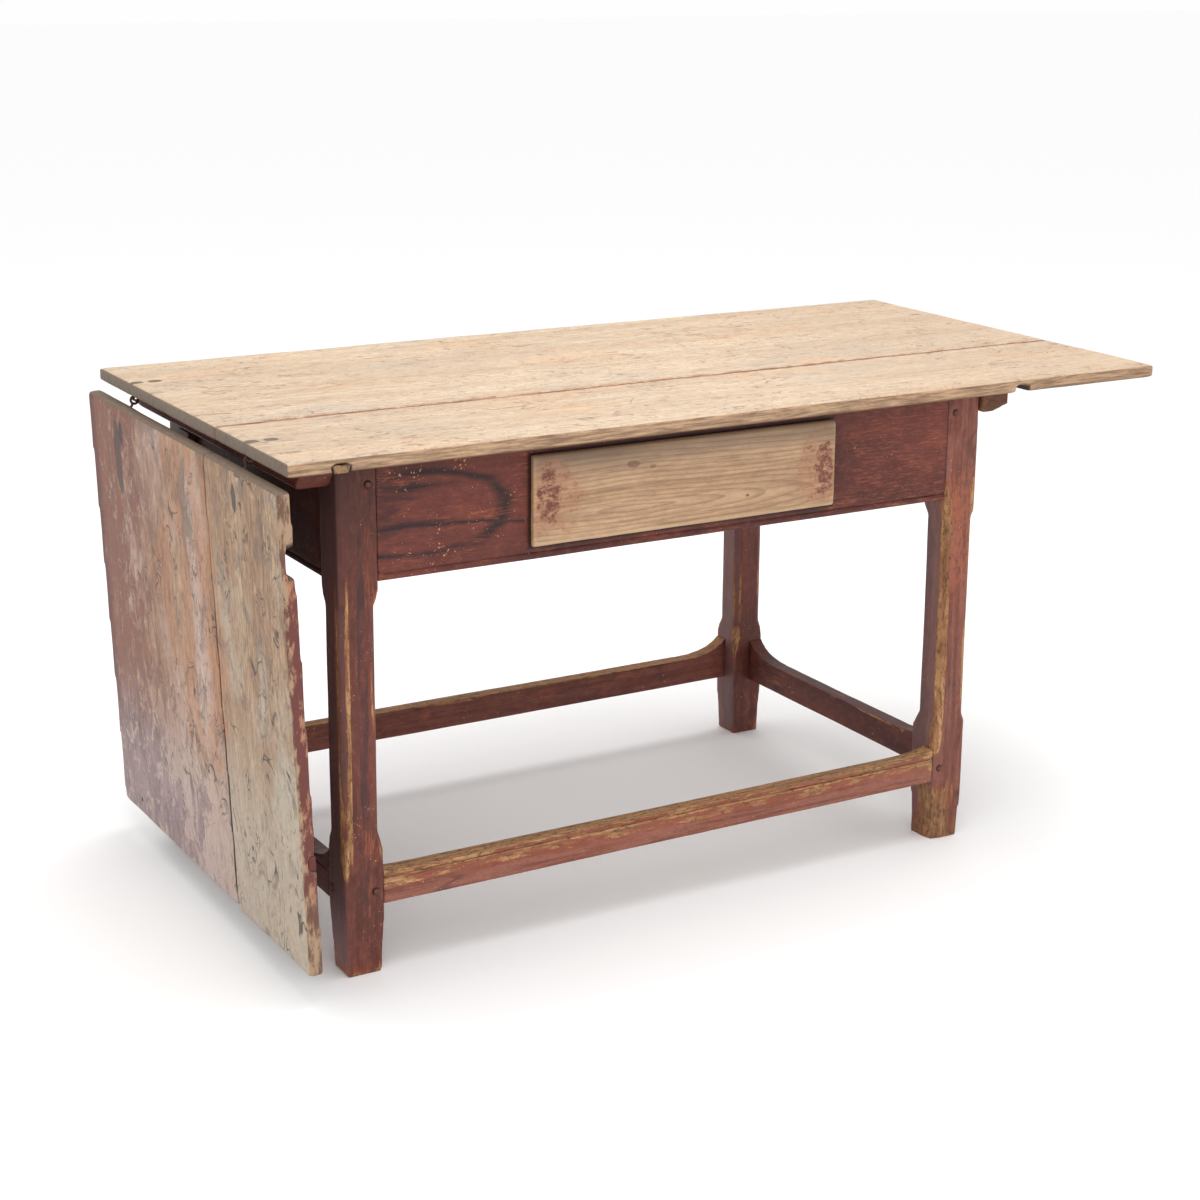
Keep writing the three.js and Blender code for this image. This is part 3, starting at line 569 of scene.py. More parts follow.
def leaf_paint(g, base, islands, mottle):
    """What is left of the paint, more to the back and low down: red above, grey-purple below. Also gives
    where it is."""
    _, y, z = g.split(g.point)
    to_back = g.fade(y, 0.02, 0.36)
    low_down = g.times(g.fade(z, 0.42, 0.12), g.fade(y, -0.14, 0.16))
    more = g.add(g.times(to_back, 0.19), g.times(low_down, 0.12))
    share = g.fade(g.add(islands, g.add(more, 0.02)), 0.63, 0.66)
    holes = g.noise(g.place((1, 1, 0.8), (3, 1, 6)), 20 * MM, 5, 0.7, 1.0)
    share = g.times(share, g.times(g.fade(y, -0.10, 0.0), g.fade(holes, 0.62, 0.54)))
    shore = g.times(g.fade(share, 0.02, 0.2), g.fade(share, 0.6, 0.3))
    faint = g.noise(g.place(along(Z, 0.4)), 26 * MM, 6, 0.72)
    tone = g.mix(g.fade(z, 0.40, 0.22), colour(104, 56, 46), colour(130, 104, 108))
    tone = g.mix(g.fade(faint, 0.42, 0.62), tone, colour(92, 68, 66))
    base = g.mix(g.times(share, g.add(0.45, g.times(faint, 0.6))), base, tone)
    base = g.tint(base, shore, 0.5, (206, 178, 150))
    ruddy = g.times(g.fade(y, -0.05, 0.28), g.fade(z, 0.16, 0.34))
    ruddy = g.times(ruddy, g.add(0.2, g.times(g.fade(mottle, 0.36, 0.6), 0.7)))
    base = g.mix(ruddy, base, colour(128, 76, 56))
    veil = g.times(g.fade(z, 0.30, 0.08), g.fade(y, -0.35, 0.1))
    base = g.mix(g.times(veil, g.add(0.05, g.times(mottle, 0.4))), base, colour(164, 146, 154))
    back_edge = g.times(g.fade(y, 0.335, 0.378), g.fade(z, 0.12, 0.3))
    base = g.mix(g.times(back_edge, g.fade(islands, 0.3, 0.5)), base, colour(96, 48, 40))
    return base, share


def leaf_marks(g, base):
    """A dark drip below the back hinge, iron stains at both eyes and a nail in the lower back corner."""
    drip_y, drip_z, drip_size = 0.255, 0.655, (0, 14 * MM, 62 * MM)
    drip = g.blob((0, drip_y, drip_z), drip_size, 0.5, 20 * MM)
    base = g.tint(base, drip, 0.75, (58, 44, 44))
    eye_z, stain_size = 0.695, (0, 8 * MM, 20 * MM)
    for row in hinge_rows:
        stain = g.blob((0, row, eye_z), stain_size, 0.3, 8 * MM)
        base = g.tint(base, stain, 0.85, (52, 44, 46))
    nail_y, nail_z, nail_radius = 0.295, 0.077, 4 * MM
    nail = g.blob((0, nail_y, nail_z), (0, nail_radius, nail_radius), 0.1)
    return g.mix(nail, base, colour(30, 22, 20))


def leaf_edges(g, base, islands):
    """The painted inner face, the flaking front and back edges, the joint, the empty slot and the ends."""
    _, y, z = g.split(g.point)
    depth = leaf_depth(g)
    inner_paint = g.mix(g.fade(islands, 0.42, 0.5), colour(120, 92, 66), colour(88, 44, 36))
    base = g.mix(g.fade(depth, 18.5 * MM, 20.5 * MM), base, inner_paint)
    flaking = g.noise(g.place(along(Z, 0.3)), 11 * MM, 4, 0.7)
    inner_half = g.fade(g.add(depth, g.times(g.minus(flaking, 0.5), 24 * MM)), 3 * MM, 6 * MM)
    edge_tone = g.mix(g.fade(flaking, 0.42, 0.6), colour(166, 136, 108), colour(104, 74, 56))
    edge_red = g.mix(g.fade(flaking, 0.36, 0.5), colour(170, 120, 92), colour(104, 52, 44))
    painted_stretch = g.times(g.fade(z, 0.09, 0.2), g.fade(z, 0.66, 0.62))
    edge_tone = g.mix(g.times(inner_half, painted_stretch), edge_tone, edge_red)
    from_seam = g.apart(y, seam)
    outer_edges = g.times(both_ends(g, Y), g.fade(from_seam, 10 * MM, 20 * MM))
    base = g.mix(outer_edges, base, edge_tone)
    split = g.add(from_seam, g.times(g.fade(z, 0.3, 0.6), 1.2 * MM))
    base = g.mix(g.fade(split, 4 * MM, 1.6 * MM), base, colour(50, 34, 28))
    slot_z, slot_half = 0.639, 25 * MM
    slot = g.blob((0, 0, slot_z), (0, 0, slot_half), 0.05)
    base = g.mix(g.times(slot, g.fade(depth, 9 * MM, 11 * MM)), base, colour(42, 30, 25))
    return g.mix(both_ends(g, Z), base, g.mix(flaking, colour(72, 58, 48), colour(128, 106, 84)))


def weathered_leaf():
    """The leaf: upright grain, islands of red and grey-purple paint, scratches, a painted inside."""
    g = Graph("weathered_pine")
    tones = (186, 156, 124), (162, 126, 94), (108, 78, 55)
    base, height = wood(g, Z, 4, tones, 10 * MM)
    mottle = g.noise(g.place(along(Z, 0.5), (7, 2, 1)), 22 * MM, 6, 0.72, 0.9)
    clouds = g.noise(g.place(along(Z, 0.5), (2, 3, 1)), 110 * MM, 4)
    base = leaf_ground(g, base, mottle, clouds)
    dark_bits = flecks(g, Z, 9, 10 * MM, 0.05, 0.4)
    base = g.tint(base, dark_bits, 0.6, (90, 68, 54))
    base = g.shade(base, crisp_grain(g, Z), 1.1)
    scratch = g.most(scratches(g, (1, 1, 0.7), 5, 0.035), scratches(g, (1.3, 1.3, 0.8), 12, 0.03))
    scratch = g.most(scratch, scratches(g, (1.8, 1.8, 1.3), 21, 0.03))
    base = g.tint(base, scratch, 0.9, (62, 46, 42))
    islands = g.noise(g.place((1, 1, 0.6), (1, 5, 2)), 60 * MM, 6, 0.66, 0.9)
    base, share = leaf_paint(g, base, islands, mottle)
    base = leaf_marks(g, base)
    base = leaf_edges(g, base, islands)
    height = g.add(height, g.times(share, 0.9))
    height = g.minus(height, g.times(g.add(scratch, g.add(dark_bits, g.times(mottle, 0.6))), 0.7))
    return g.finish(grime(g, base), g.add(0.5, g.times(clouds, 0.22)), height, 0.5 * MM, 0.6)


# ---- The drawer and the unpainted wood ---------------------------------------------------------------

drawer_low, drawer_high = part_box("drawer_front")


def paint_traces(g, base):
    """Red paint left at both ends of the drawer front: a broken patch with a denser core."""
    traces = g.noise(g.place(along(X, 0.7)), 12 * MM, 7, 0.8)
    patch_size, core_size = (50 * MM, 0, 52 * MM), (18 * MM, 0, 40 * MM)
    for end_x, z in ((drawer_low.x + 24 * MM, 0.668), (drawer_high.x - 20 * MM, 0.655)):
        patch = g.blob((end_x, 0, z), patch_size, 1.0, 34 * MM)
        core = g.blob((end_x, 0, z), core_size, 0.8, 14 * MM)
        base = g.mix(g.times(patch, g.add(0.15, g.times(traces, 0.45))), base, colour(166, 112, 80))
        base = g.mix(g.times(patch, g.times(g.fade(traces, 0.52, 0.6), 0.7)), base, colour(126, 70, 50))
        base = g.mix(g.times(core, g.fade(traces, 0.40, 0.56)), base, colour(112, 56, 42))
    return base


def drawer_board():
    """The bare drawer front: a long oval figure low in the middle, darker and greyer at the top, red traces
    at both ends.
    """
    g = Graph("bare_pine")
    middle_x = (drawer_low.x + drawer_high.x) / 2
    figure_left, figure_z, figure_stretch = 60 * MM, 0.637, 15.0
    bow = ((middle_x - figure_left, drawer_low.y + figure_z), figure_stretch)
    tones = (190, 156, 122), (172, 137, 104), (124, 84, 54)
    base, height = wood(g, X, 6, tones, 7 * MM, 1.1, bow)
    z = g.split(g.point)[Z]
    clouds = g.noise(g.place(along(X, 0.3)), 60 * MM, 3)
    # darker and greyer along the top of the drawer front
    greyed = g.times(g.fade(z, 0.685, 0.722), g.add(0.35, g.times(clouds, 0.5)))
    base = g.mix(greyed, base, colour(112, 94, 78))
    base = paint_traces(g, base)
    knots = ((162 * MM, 0.701, 11 * MM, 5 * MM, 0.6),
             (195 * MM, 0.694, 6 * MM, 3 * MM, 0.5),
             (360 * MM, 0.632, 3 * MM, 2 * MM, 0.8))
    for from_left, knot_z, half_wide, half_high, depth in knots:
        knot = g.blob((drawer_low.x + from_left, 0, knot_z), (half_wide, 0, half_high), 0.4, 10 * MM)
        base = g.tint(base, knot, depth, (92, 64, 46))
    base = g.tint(base, g.fade(z, 0.607, 0.6), 0.5, (198, 170, 134))
    base = g.tint(base, g.attribute("wear"), 0.3, (192, 162, 126))
    return g.finish(grime(g, base), g.add(0.5, g.times(clouds, 0.15)), height, 0.4 * MM, 0.5)


def raw_wood(name, axis, tones):
    """Unpainted wood inside the table, aged brown."""
    g = Graph(name)
    base, height = wood(g, axis, 8, tones, 9 * MM, 0.9)
    clouds = g.noise(g.point, 80 * MM, 4)
    base = g.tint(base, g.fade(clouds, 0.45, 0.7), 0.5, tones[2])
    return g.finish(grime(g, base), 0.7, height, 0.4 * MM, 0.5)


# ---- The painted frame -------------------------------------------------------------------------------

near_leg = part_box("leg_front_left")[0]
far_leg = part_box("leg_back_right")[0]


class Coat:
    """The noises that the layers of one painted piece share, stretched along its grain."""

    def __init__(self, g, axis, seed):
        self.graph = g
        self.axis = axis
        self.shift = (seed, seed * 2.0, seed * 0.5)
        self.brush = self.noise(0.05, 8 * MM, 4, 0.65)
        self.tone = self.noise(0.4, 120 * MM, 4)
        self.mottle = self.noise(0.6, 12 * MM, 6, 0.72)
        self.rubbed = self.noise(0.45, 5 * MM, 6, 0.78)
        self.smoke = self.noise(0.25, 60 * MM, 2, 0.5, 1.4)
        self.stretch = self.noise(0.5, 110 * MM, 3)
        self.fine = self.noise(0.2, 12 * MM, 6, 0.75)
        self.pitted = g.fade(self.noise(0.35, 5 * MM, 7, 0.82), 0.49, 0.6)

    def noise(self, squeeze, size, *kind):
        return self.graph.noise(self.graph.place(along(self.axis, squeeze), self.shift), size, *kind)


def beyond(g, value, limit):
    """1 where value is over limit, 0 elsewhere."""
    return g.math("GREATER_THAN", value, limit)


def specks(g, shift):
    """Small crisp chips through the paint, in loose crowds, more of them towards the table's left."""
    crowd = g.times(g.minus(g.noise(g.place(shift=shift), 45 * MM, 4, 0.6), 0.5), -0.7)
    fewer = g.times(g.fade(g.split(g.point)[X], -0.45, 0.2), 0.05)
    found = 0.0
    for size in (9 * MM, 5 * MM):
        away = g.cells(g.place(shift=shift), size)
        ragged = g.times(g.minus(g.noise(g.point, size / 6, 3, 0.7), 0.5), 0.5)
        away = g.add(away, g.add(g.add(crowd, fewer), ragged))
        found = g.most(g.fade(away, 0.07, 0.03), found)
    return found


def old_paint(g, coat, faded, fades):
    """The coat: slow changes of tone, faint brush lines, darker and lighter dapples. Where it has faded it is
    dusty pink, with what is left of the dirt standing dark on it."""
    paint = g.mix(g.fade(coat.tone, 0.35, 0.65), colour(80, 39, 33), colour(108, 55, 46))
    paint = g.tint(paint, g.fade(coat.brush, 0.45, 0.75), 0.35, (62, 35, 31))
    paint = g.tint(paint, g.fade(coat.mottle, 0.50, 0.68), 0.4, (134, 76, 62))
    paint = g.tint(paint, g.fade(coat.mottle, 0.47, 0.32), 0.45, (58, 34, 30))
    pale = faded
    for centre, size, amount in fades:
        pale = g.most(g.times(g.blob(centre, size, 0.5, 60 * MM), amount), pale)
    pale = g.times(pale, g.add(0.45, g.times(coat.mottle, 1.1)))
    dusty = g.mix(g.fade(coat.brush, 0.4, 0.62), colour(170, 112, 94), colour(128, 76, 62))
    paint = g.mix(g.least(g.times(pale, g.add(0.3, g.times(coat.brush, 1.2))), 0.95), paint, dusty)
    paint = g.shade(paint, coat.rubbed, 0.9)
    return g.mix(g.times(pale, g.times(g.fade(coat.rubbed, 0.53, 0.62), 0.5)), paint, colour(70, 46, 40))


def black_strokes(g, coat):
    """Black brush strokes, in groups."""
    stroke = g.fade(g.apart(coat.smoke, 0.5), 0.05, 0.0)
    groups = g.fade(g.noise(g.place(shift=coat.shift), 190 * MM, 2), 0.54, 0.64)
    streaky = g.add(0.35, g.times(coat.brush, 0.8))
    return g.times(g.times(stroke, groups), g.times(streaky, 0.6))


def smears(g, coat):
    """The painter's black ovals left of the drawer: an open loop, two strokes in it, one long curve."""
    x, _, z = g.split(g.point)
    ovals = (((-0.53, 0.666), (134 * MM, 60 * MM), 0.13, 1.0),
             ((-0.535, 0.703), (75 * MM, 7 * MM), 1.0, 0.0),
             ((-0.54, 0.652), (70 * MM, 5 * MM), 1.0, 0.0),
             ((-0.60, 0.60), (300 * MM, 50 * MM), 0.07, 1.0))
    black = 0.0
    for middle, size, width, rim in ovals:
        dx = g.times(g.minus(x, middle[0]), 1 / size[0])
        dz = g.times(g.minus(z, middle[1]), 1 / size[1])
        radius = g.add(g.length(dx, dz), g.times(g.minus(coat.smoke, 0.5), 0.35))
        line = g.fade(g.apart(radius, rim), width * 1.3, 0.0)
        dry = g.fade(g.add(coat.brush, g.times(coat.mottle, 0.3)), 0.38, 0.66)
        black = g.most(g.times(line, dry), black)
    return g.times(black, g.fade(x, drawer_low.x + 10 * MM, drawer_low.x - 20 * MM))


def front_paint(g, coat, paint):
    """The front apron's own paint: black smears left of the drawer, redder streaks right of it."""
    paint = g.tint(paint, smears(g, coat), 0.9, (34, 27, 29))
    lines = coat.noise(0.1, 3 * MM, 6, 0.8)
    redder = g.times(g.fade(g.split(g.point)[X], 0.18, 0.24), g.fade(lines, 0.5, 0.62))
    return g.tint(paint, redder, 0.5, (160, 88, 64))


def shadow_and_dirt_round_drawer(g):
    """1 in the dark band round the drawer front, painted shadow of its gap and dirt, 0 from a few millimetres
    away.
    """
    x, _, z = g.split(g.point)
    half = (drawer_high - drawer_low) / 2
    middle = (drawer_high + drawer_low) / 2
    dx = g.minus(g.apart(x, middle.x), half.x)
    dz = g.minus(g.apart(z, middle.z), half.z)
    return g.fade(g.most(dx, dz), 7 * MM, 1 * MM)


class LegPlace:
    """Where a point is on its own leg."""

    def __init__(self, g, coat):
        self.x, self.y, self.z = g.split(g.point)
        self.to_right = beyond(g, self.x, 0.0)
        self.shaft = g.times(g.fade(self.z, 0.12, 0.19), g.fade(self.z, 0.63, 0.56))
        self.patchy = coat.noise(0.15, 16 * MM, 5, 0.7)
        self.ragged = g.add(self.z, g.times(g.minus(self.patchy, 0.5), 0.11))

        # How far it lies from the front-left edge: the distances along both faces, added.
        corner_x = g.add(near_leg.x, g.times(self.to_right, far_leg.x - near_leg.x))
        corner_y = g.add(near_leg.y, g.times(beyond(g, self.y, 0.0), far_leg.y - near_leg.y))
        self.corner = g.add(g.minus(self.x, corner_x), g.minus(self.y, corner_y))


def leg_rub(g, leg, rub):
    """How far a leg's paint is rubbed: a line and a broad band at its front-left edge, the right legs' right
    edge high up, and the feet."""
    rub = g.times(rub, g.add(0.3, g.times(leg.shaft, 0.5)))
    broad = g.times(g.fade(g.add(leg.corner, g.times(leg.patchy, 12 * MM)), 25 * MM, 18 * MM), leg.shaft)
    at_front = g.add(0.35, g.times(g.fade(leg.y, 0.1, -0.1), 0.65))
    broad = g.times(broad, g.add(g.times(leg.to_right, 0.55), g.times(g.fade(leg.z, 0.44, 0.36), 0.22)))
    line = g.times(g.fade(g.apart(leg.corner, 12 * MM), 3.5 * MM, 1 * MM), leg.shaft)
    line = g.times(line, g.minus(0.56, g.times(leg.to_right, 0.3)))
    band = g.most(g.times(broad, at_front), g.times(line, at_front))
    rub = g.add(rub, g.times(band, g.add(0.6, g.times(leg.patchy, 0.9))))
    far_edge = g.apart(leg.x, far_leg.x + 56 * MM)
    far_edge = g.times(g.fade(far_edge, 10 * MM, 4 * MM), g.times(g.fade(leg.z, 0.42, 0.52), leg.shaft))
    rub = g.add(rub, g.times(far_edge, g.times(leg.patchy, 0.95)))
    near_edge = g.fade(g.add(leg.corner, g.times(leg.patchy, 30 * MM)), 75 * MM, 50 * MM)
    foot = g.times(near_edge, g.fade(leg.ragged, 0.115, 0.08))
    right_foot = g.times(foot, g.times(leg.to_right, g.fade(leg.y, 0.1, -0.1)))
    return g.add(rub, g.add(g.times(right_foot, 0.6), g.times(g.fade(leg.ragged, 0.05, 0.0), 0.4)))


def leg_bare(g, coat, leg, bare):
    """The wood that shows through on a leg: stained, pitted, and darker towards the foot."""
    bare = g.tint(bare, g.fade(leg.ragged, 0.12, 0.04), 0.45, (112, 78, 60))
    stained = coat.noise(0.2, 20 * MM, 5, 0.7)
    bare = g.tint(bare, g.fade(stained, 0.42, 0.6), 0.6, (124, 74, 50))
    return g.tint(bare, coat.pitted, 0.7, (62, 40, 30))


def leg_paint(g, coat, leg, paint):
    """A leg's own paint: an orange glow on the right ones, greyed left faces, soot, shade under the top."""
    smoky = coat.noise(0.1, 14 * MM, 4, 0.65)
    ember = g.times(g.times(g.fade(leg.z, 0.36, 0.46), g.fade(leg.z, 0.64, 0.58)), leg.to_right)
    ember = g.times(ember, faces_along(g, Y, -1))
    glow = g.times(ember, g.times(g.fade(coat.rubbed, 0.44, 0.58), 0.55))
    paint = g.mix(glow, paint, colour(172, 96, 64))
    greyed = g.times(faces_along(g, X, -1), g.add(0.15, g.times(smoky, 0.5)))
    paint = g.mix(greyed, paint, colour(124, 100, 100))
    sooty = g.blob((near_leg.x + 33 * MM, near_leg.y, 0.38), (7 * MM, 50 * MM, 0.30), 0.5, 40 * MM)
    soot = g.times(sooty, g.times(g.fade(smoky, 0.4, 0.62), 0.75))
    paint = g.mix(soot, paint, colour(62, 46, 46))
    under_top = g.times(g.fade(leg.z, 0.5, 0.7), g.fade(leg.x, 0.1, -0.1))
    return g.tint(paint, under_top, 0.5, (58, 32, 28))


def painted(name, axis, seed, worn=0.0, faces=0.0, tops=0.0, ridged=False, front=False, leg=False,
            bare_above=None, faded=0.0, fades=()):
    """Old dark red paint on pine. worn bares the edges, faces thins the paint to orange, tops bares upper
    faces and ridged the upper part of the front stretcher's sides, front and leg add what only those pieces
    have, faded pales it all over and fades pale it in places, and what lies above bare_above was never
    painted."""
    g = Graph(name)
    coat = Coat(g, axis, seed)
    tones = (196, 150, 104), (166, 118, 76), (96, 62, 40)
    bare, height = wood(g, axis, seed, tones, 8 * MM)
    paint = old_paint(g, coat, faded, fades)
    paint = g.mix(black_strokes(g, coat), paint, colour(38, 29, 31))
    if front:
        paint = front_paint(g, coat, paint)

    # Thin paint, scratches along the grain and chips.
    thinned = g.fade(g.add(coat.noise(0.35, 42 * MM, 5, 0.7), faces * 0.2), 0.58, 0.74)
    scratchy = g.fade(coat.noise(0.08, 3 * MM, 5, 0.75), 0.45, 0.62)
    paint = g.mix(g.times(thinned, g.times(scratchy, 0.8)), paint, colour(164, 88, 60))
    chips = specks(g, coat.shift)
    paint = g.tint(paint, chips, 0.85, (204, 140, 102))

    # How far the paint is rubbed away.
    rub = g.times(g.attribute("wear"), g.add(worn, g.times(g.fade(coat.stretch, 0.38, 0.62), 0.75)))
    if leg:
        place = LegPlace(g, coat)
        rub = leg_rub(g, place, rub)
        bare = leg_bare(g, coat, place, bare)
        paint = leg_paint(g, coat, place, paint)
    rub = g.add(rub, g.times(g.minus(coat.fine, 0.5), 0.8))
    z = g.split(g.point)[Z]
    if tops:
        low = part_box("stretcher_front")[0]
        ridge = g.times(g.fade(z, low.z + 8 * MM, low.z + 26 * MM), 0.5) if ridged else 0.0
        rub = g.add(rub, g.add(g.times(faces_along(g, Z, 1), tops), ridge))
        bare = g.tint(bare, coat.pitted, 0.85, (62, 46, 38))
    if front:
        bead = g.times(g.fade(z, 0.590, 0.583), g.fade(coat.stretch, 0.3, 0.6))
        rub = g.add(g.times(rub, 0.35), g.times(bead, g.add(0.12, g.times(coat.fine, 0.4))))
    exposed = g.fade(rub, 0.48, 0.56)
    base = g.tint(paint, g.fade(rub, 0.34, 0.48), 0.6, (142, 74, 50))
    base = g.mix(exposed, base, bare)

    # Dirt in the pores, painted shadow and dirt round the drawer, and where a tongue goes into the top.
    pore = coat.noise(0.1, 2.2 * MM, 3, 0.7)
    base = g.tint(base, g.fade(pore, 0.55, 0.75), 0.3, (40, 27, 24))
    if front:
        # the dark band round the drawer is painted shadow of its gap, with dirt in it
        base = g.tint(base, shadow_and_dirt_round_drawer(g), 0.85, (30, 20, 18))
    if bare_above:
        tongue_tone = g.mix(g.fade(coat.mottle, 0.4, 0.6), colour(52, 38, 30), colour(150, 116, 84))
        base = g.mix(g.fade(z, bare_above - 1 * MM, bare_above + 1 * MM), base, tongue_tone)
    height = g.add(g.times(height, 0.5), g.times(g.minus(1.0, exposed), 0.7))
    height = g.minus(height, g.times(g.add(chips, coat.mottle), 0.5))
    rough = g.add(0.45, g.add(g.times(exposed, 0.2), g.times(coat.tone, 0.15)))
    g.put(0.28, g.shader.inputs["Specular IOR Level"])
    return g.finish(grime(g, base), rough, height, 0.45 * MM, 0.6)


# ---- Pegs and iron -----------------------------------------------------------------------------------

def peg_ends():
    """The end grain of the pegs, under the same paint."""
    g = Graph("peg_birch")
    rings = g.noise(g.point, 3 * MM, 4, 0.7)
    base = g.mix(g.fade(rings, 0.35, 0.65), colour(66, 38, 32), colour(110, 62, 52))
    return g.finish(base, 0.6, rings, 0.3 * MM, 0.6)


def rusty_iron():
    """Forged iron, brown with rust."""
    g = Graph("forged_iron")
    scale = g.noise(g.point, 5 * MM, 5, 0.7)
    spots = g.noise(g.point, 2 * MM, 3, 0.6)
    base = g.mix(g.fade(scale, 0.4, 0.62), colour(46, 38, 36), colour(92, 60, 44))
    base = g.tint(base, g.fade(spots, 0.55, 0.7), 0.6, (124, 74, 46))
    g.put(0.35, g.shader.inputs["Metallic"])
    return g.finish(base, g.add(0.5, g.times(scale, 0.3)), scale, 0.4 * MM, 0.7)


# ---- Pieces ------------------------------------------------------------------------------------------

def named(*starts):
    """The CAD nodes whose names start that way, in order."""
    return [node for node in sorted(NODES) if node.startswith(starts)]


def paint_piece(piece, material):
    """Gives the piece that one material."""
    piece.data.materials.clear()
    piece.data.materials.append(material)


def boards():
    """The top's and the leaf's planks with soft, chipped edges, and the drawer front and the stop block with
    soft ones.
    """
    planks = (("top_plank_", scrubbed_top(), 0.4, 0.1, 20), ("leaf_plank_", weathered_leaf(), 0.3, 0.04, 30))
    for start, material, patchy, chips, seed in planks:
        for i, side in enumerate(("front", "back")):
            mesh = voxel_mesh(start + side, 4 * MM)
            piece = wear_piece(start + side, mesh, 3, 10, patchy, chips, 0.4 * MM, seed=seed + i)
            paint_piece(piece, material)
    aged = raw_wood("aged_block", Y, ((134, 98, 68), (108, 76, 52), (66, 44, 32)))
    blocks = (("drawer_front", 2 * MM, drawer_board()), ("leaf_stop_block", 2.5 * MM, aged))
    for node, voxel, material in blocks:
        paint_piece(wear_piece(node, voxel_mesh(node, voxel), 5, 10, seed=40), material)


def gnawed(shaped, rest):
    """Eats away the front-left corner of a foot, and says where."""
    low = rest.min(0)
    reach, core, depth = 28 * MM, 6 * MM, 11 * MM
    foot_top, deepest = 115 * MM, 30 * MM
    near = fade(np.hypot(rest[:, X] - low[X], rest[:, Y] - low[Y]), reach, core)
    bite = near * fade(rest[:, Z], foot_top, deepest) * (0.6 + 0.6 * noise(rest, 14 * MM, 77, 3))
    inward = np.array([0.7, 0.7, 0])
    return shaped + inward * (depth * bite)[:, None], fade(bite, 0.15, 0.35)


def legs():
    """The four legs. The front right one is faded at the front, and its foot is gnawed."""
    low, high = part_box("leg_front_right")
    middle_x = (low.x + high.x) / 2
    faded_spot = ((middle_x + 10 * MM, low.y, 0.42), (60 * MM, 45 * MM, 0.42), 0.55)
    material = painted("red_paint_legs", Z, 11, worn=0.25, faces=0.35, leg=True, faded=0.12,
                       fades=(faded_spot,))
    for i, node in enumerate(named("leg_")):
        sculpt = gnawed if node == "leg_front_right" else None
        piece = wear_piece(node, voxel_mesh(node, 3 * MM), 3, 18, chips=0.05, sway=0.35 * MM, seed=50 + i,
                           sculpt=sculpt, wear_range=(0.1, 0.9))
        paint_piece(piece, material)


RAIL_INSETS = [1 * MM, 2.5 * MM, 5 * MM, 10 * MM]


def rails():
    """Aprons, stretchers, battens and gate: sawn rails whose mouldings stay crisp."""
    kinds = (
        (("apron_front",), 16 * MM, painted("red_paint_front", X, 3, faces=0.4, front=True)),
        (("apron_back",), 16 * MM, painted("red_paint_back", X, 4, faces=0.2)),
        (("apron_left", "apron_right"), 16 * MM, painted("red_paint_ends", Y, 5)),
        (("stretcher_front",), 12 * MM,
         painted("red_paint_stretcher_front", X, 6, worn=0.35, faces=0.5, tops=0.62, ridged=True,
                 faded=0.75)),
        (("stretcher_back",), 12 * MM,
         painted("red_paint_stretcher_back", X, 12, worn=0.3, faces=0.3, tops=0.62, faded=0.25)),
        (("stretcher_left", "stretcher_right"), 12 * MM,
         painted("red_paint_stretcher_end", Y, 7, worn=0.1, faces=0.2, tops=0.3)),
        (("top_batten_right",), 12 * MM,
         raw_wood("stained_pine", Y, ((134, 84, 46), (102, 60, 32), (52, 30, 18)))),
        (("top_batten_left", "leaf_batten"), 12 * MM,
         painted("red_paint_batten", Y, 8, worn=0.1, bare_above=top_low.z)),
        (("gate_pivot_post", "gate_leg"), 10 * MM, painted("red_paint_gate_post", Z, 9, worn=0.1)),
        (("gate_rail",), 10 * MM, painted("red_paint_gate_rail", Y, 10, worn=0.1)))
    seed = 60
    for starts, pitch, material in kinds:
        for node in named(*starts):
            seed += 1
            mesh = cut_mesh(node, pitch, RAIL_INSETS)
            paint_piece(wear_piece(node, mesh, 1, 4, patchy=0.8, sway=0.35 * MM, seed=seed), material)


def inside():
    """The drawer's box and what it runs on."""
    tones = (178, 140, 100), (158, 120, 84), (104, 74, 50)
    lengthwise = raw_wood("raw_pine_depth", Y, tones)
    across = raw_wood("raw_pine_width", X, tones)
    for node in named("drawer_side", "drawer_runner", "drawer_guide", "drawer_back", "drawer_bottom"):
        mesh = cut_mesh(node, 20 * MM, RAIL_INSETS[:3])
        piece = wear_piece(node, mesh, 1, 4, sway=0.2 * MM, seed=90)
        paint_piece(piece, across if node in ("drawer_back", "drawer_bottom") else lengthwise)


def fastenings():
    """Pegs and pins, and the iron staples and eyes."""
    pegs = peg_ends()
    for i, node in enumerate(named("peg_", "gate_pin")):
        paint_piece(wear_piece(node, voxel_mesh(node, 0.9 * MM), 2, 6, sway=0.1 * MM, seed=100 + i), pegs)
    iron = rusty_iron()
    for i, node in enumerate(named("hinge_")):
        paint_piece(wear_piece(node, voxel_mesh(node, 0.5 * MM), 1, 6, sway=0.15 * MM, seed=120 + i), iron)


# ---- Stage -------------------------------------------------------------------------------------------

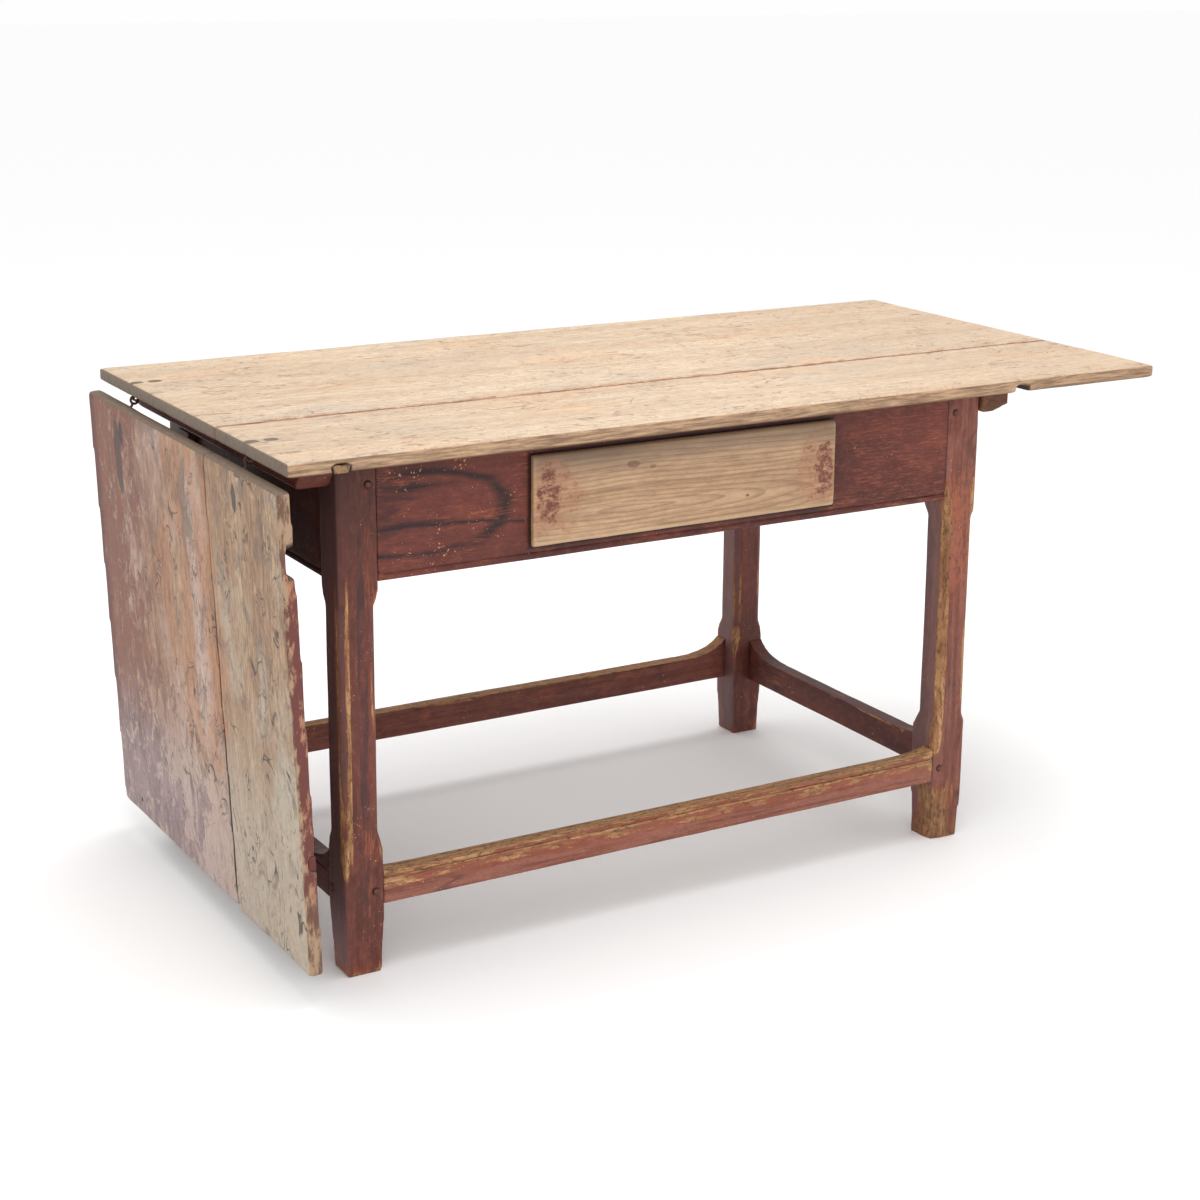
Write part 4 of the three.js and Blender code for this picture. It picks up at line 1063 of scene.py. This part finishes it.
def stage():
    """A pale floor, and soft light from above and in front."""
    side = 30.0
    corners = [(-side, -side, 0), (side, -side, 0), (side, side, 0), (-side, side, 0)]
    mesh = bpy.data.meshes.new("floor")
    mesh.from_pydata(corners, [], [(0, 1, 2, 3)])
    floor = bpy.data.objects.new("floor", mesh)
    bpy.context.scene.collection.objects.link(floor)
    pale = bpy.data.materials.new("floor_white")
    pale.use_nodes = True
    shader = pale.node_tree.nodes["Principled BSDF"]
    shader.inputs["Base Color"].default_value = (0.985, 0.985, 0.985, 1)
    shader.inputs["Roughness"].default_value = 0.9
    mesh.materials.append(pale)
    world = bpy.data.worlds.new("studio")
    world.use_nodes = True
    background = world.node_tree.nodes["Background"]
    background.inputs["Color"].default_value = (1, 1, 1, 1)
    background.inputs["Strength"].default_value = 0.99
    bpy.context.scene.world = world
    aim = Vector((0, 0, 0.4))
    for name, place, size, power in (("key", (-1.2, -2.6, 3.4), 2.4, 28), ("top", (0.2, 0.1, 3.2), 2.6, 47)):
        light = bpy.data.lights.new(name, "AREA")
        light.size = size
        light.energy = power
        lamp = bpy.data.objects.new(name, light)
        lamp.location = place
        lamp.rotation_euler = (aim - Vector(place)).to_track_quat("-Z", "Y").to_euler()
        bpy.context.scene.collection.objects.link(lamp)
    bpy.context.scene.view_settings.view_transform = "Standard"


def camera():
    """A long lens above the table's height, looking down at it from the drawer's left."""
    yaw, pitch, roll = (math.radians(angle) for angle in (31.10, 14.90, 0.625))
    position = Vector((-1.8414, -3.0952, 1.4466))
    forward = Vector((math.sin(yaw) * math.cos(pitch), math.cos(yaw) * math.cos(pitch), -math.sin(pitch)))
    level_right = Vector((math.cos(yaw), -math.sin(yaw), 0))
    level_up = level_right.cross(forward)
    right = level_right * math.cos(roll) + level_up * math.sin(roll)
    up = right.cross(forward)
    data = bpy.data.cameras.new("camera")
    data.sensor_width = 36
    data.lens = 69.07
    data.shift_x = -0.0354
    data.shift_y = -0.0515
    data.clip_end = 100
    cam = bpy.data.objects.new("camera", data)
    turn = Matrix((right, up, -forward)).transposed().to_4x4()
    cam.matrix_world = Matrix.Translation(position) @ turn
    bpy.context.scene.collection.objects.link(cam)
    bpy.context.scene.camera = cam


stage()
camera()
boards()
legs()
rails()
inside()
fastenings()
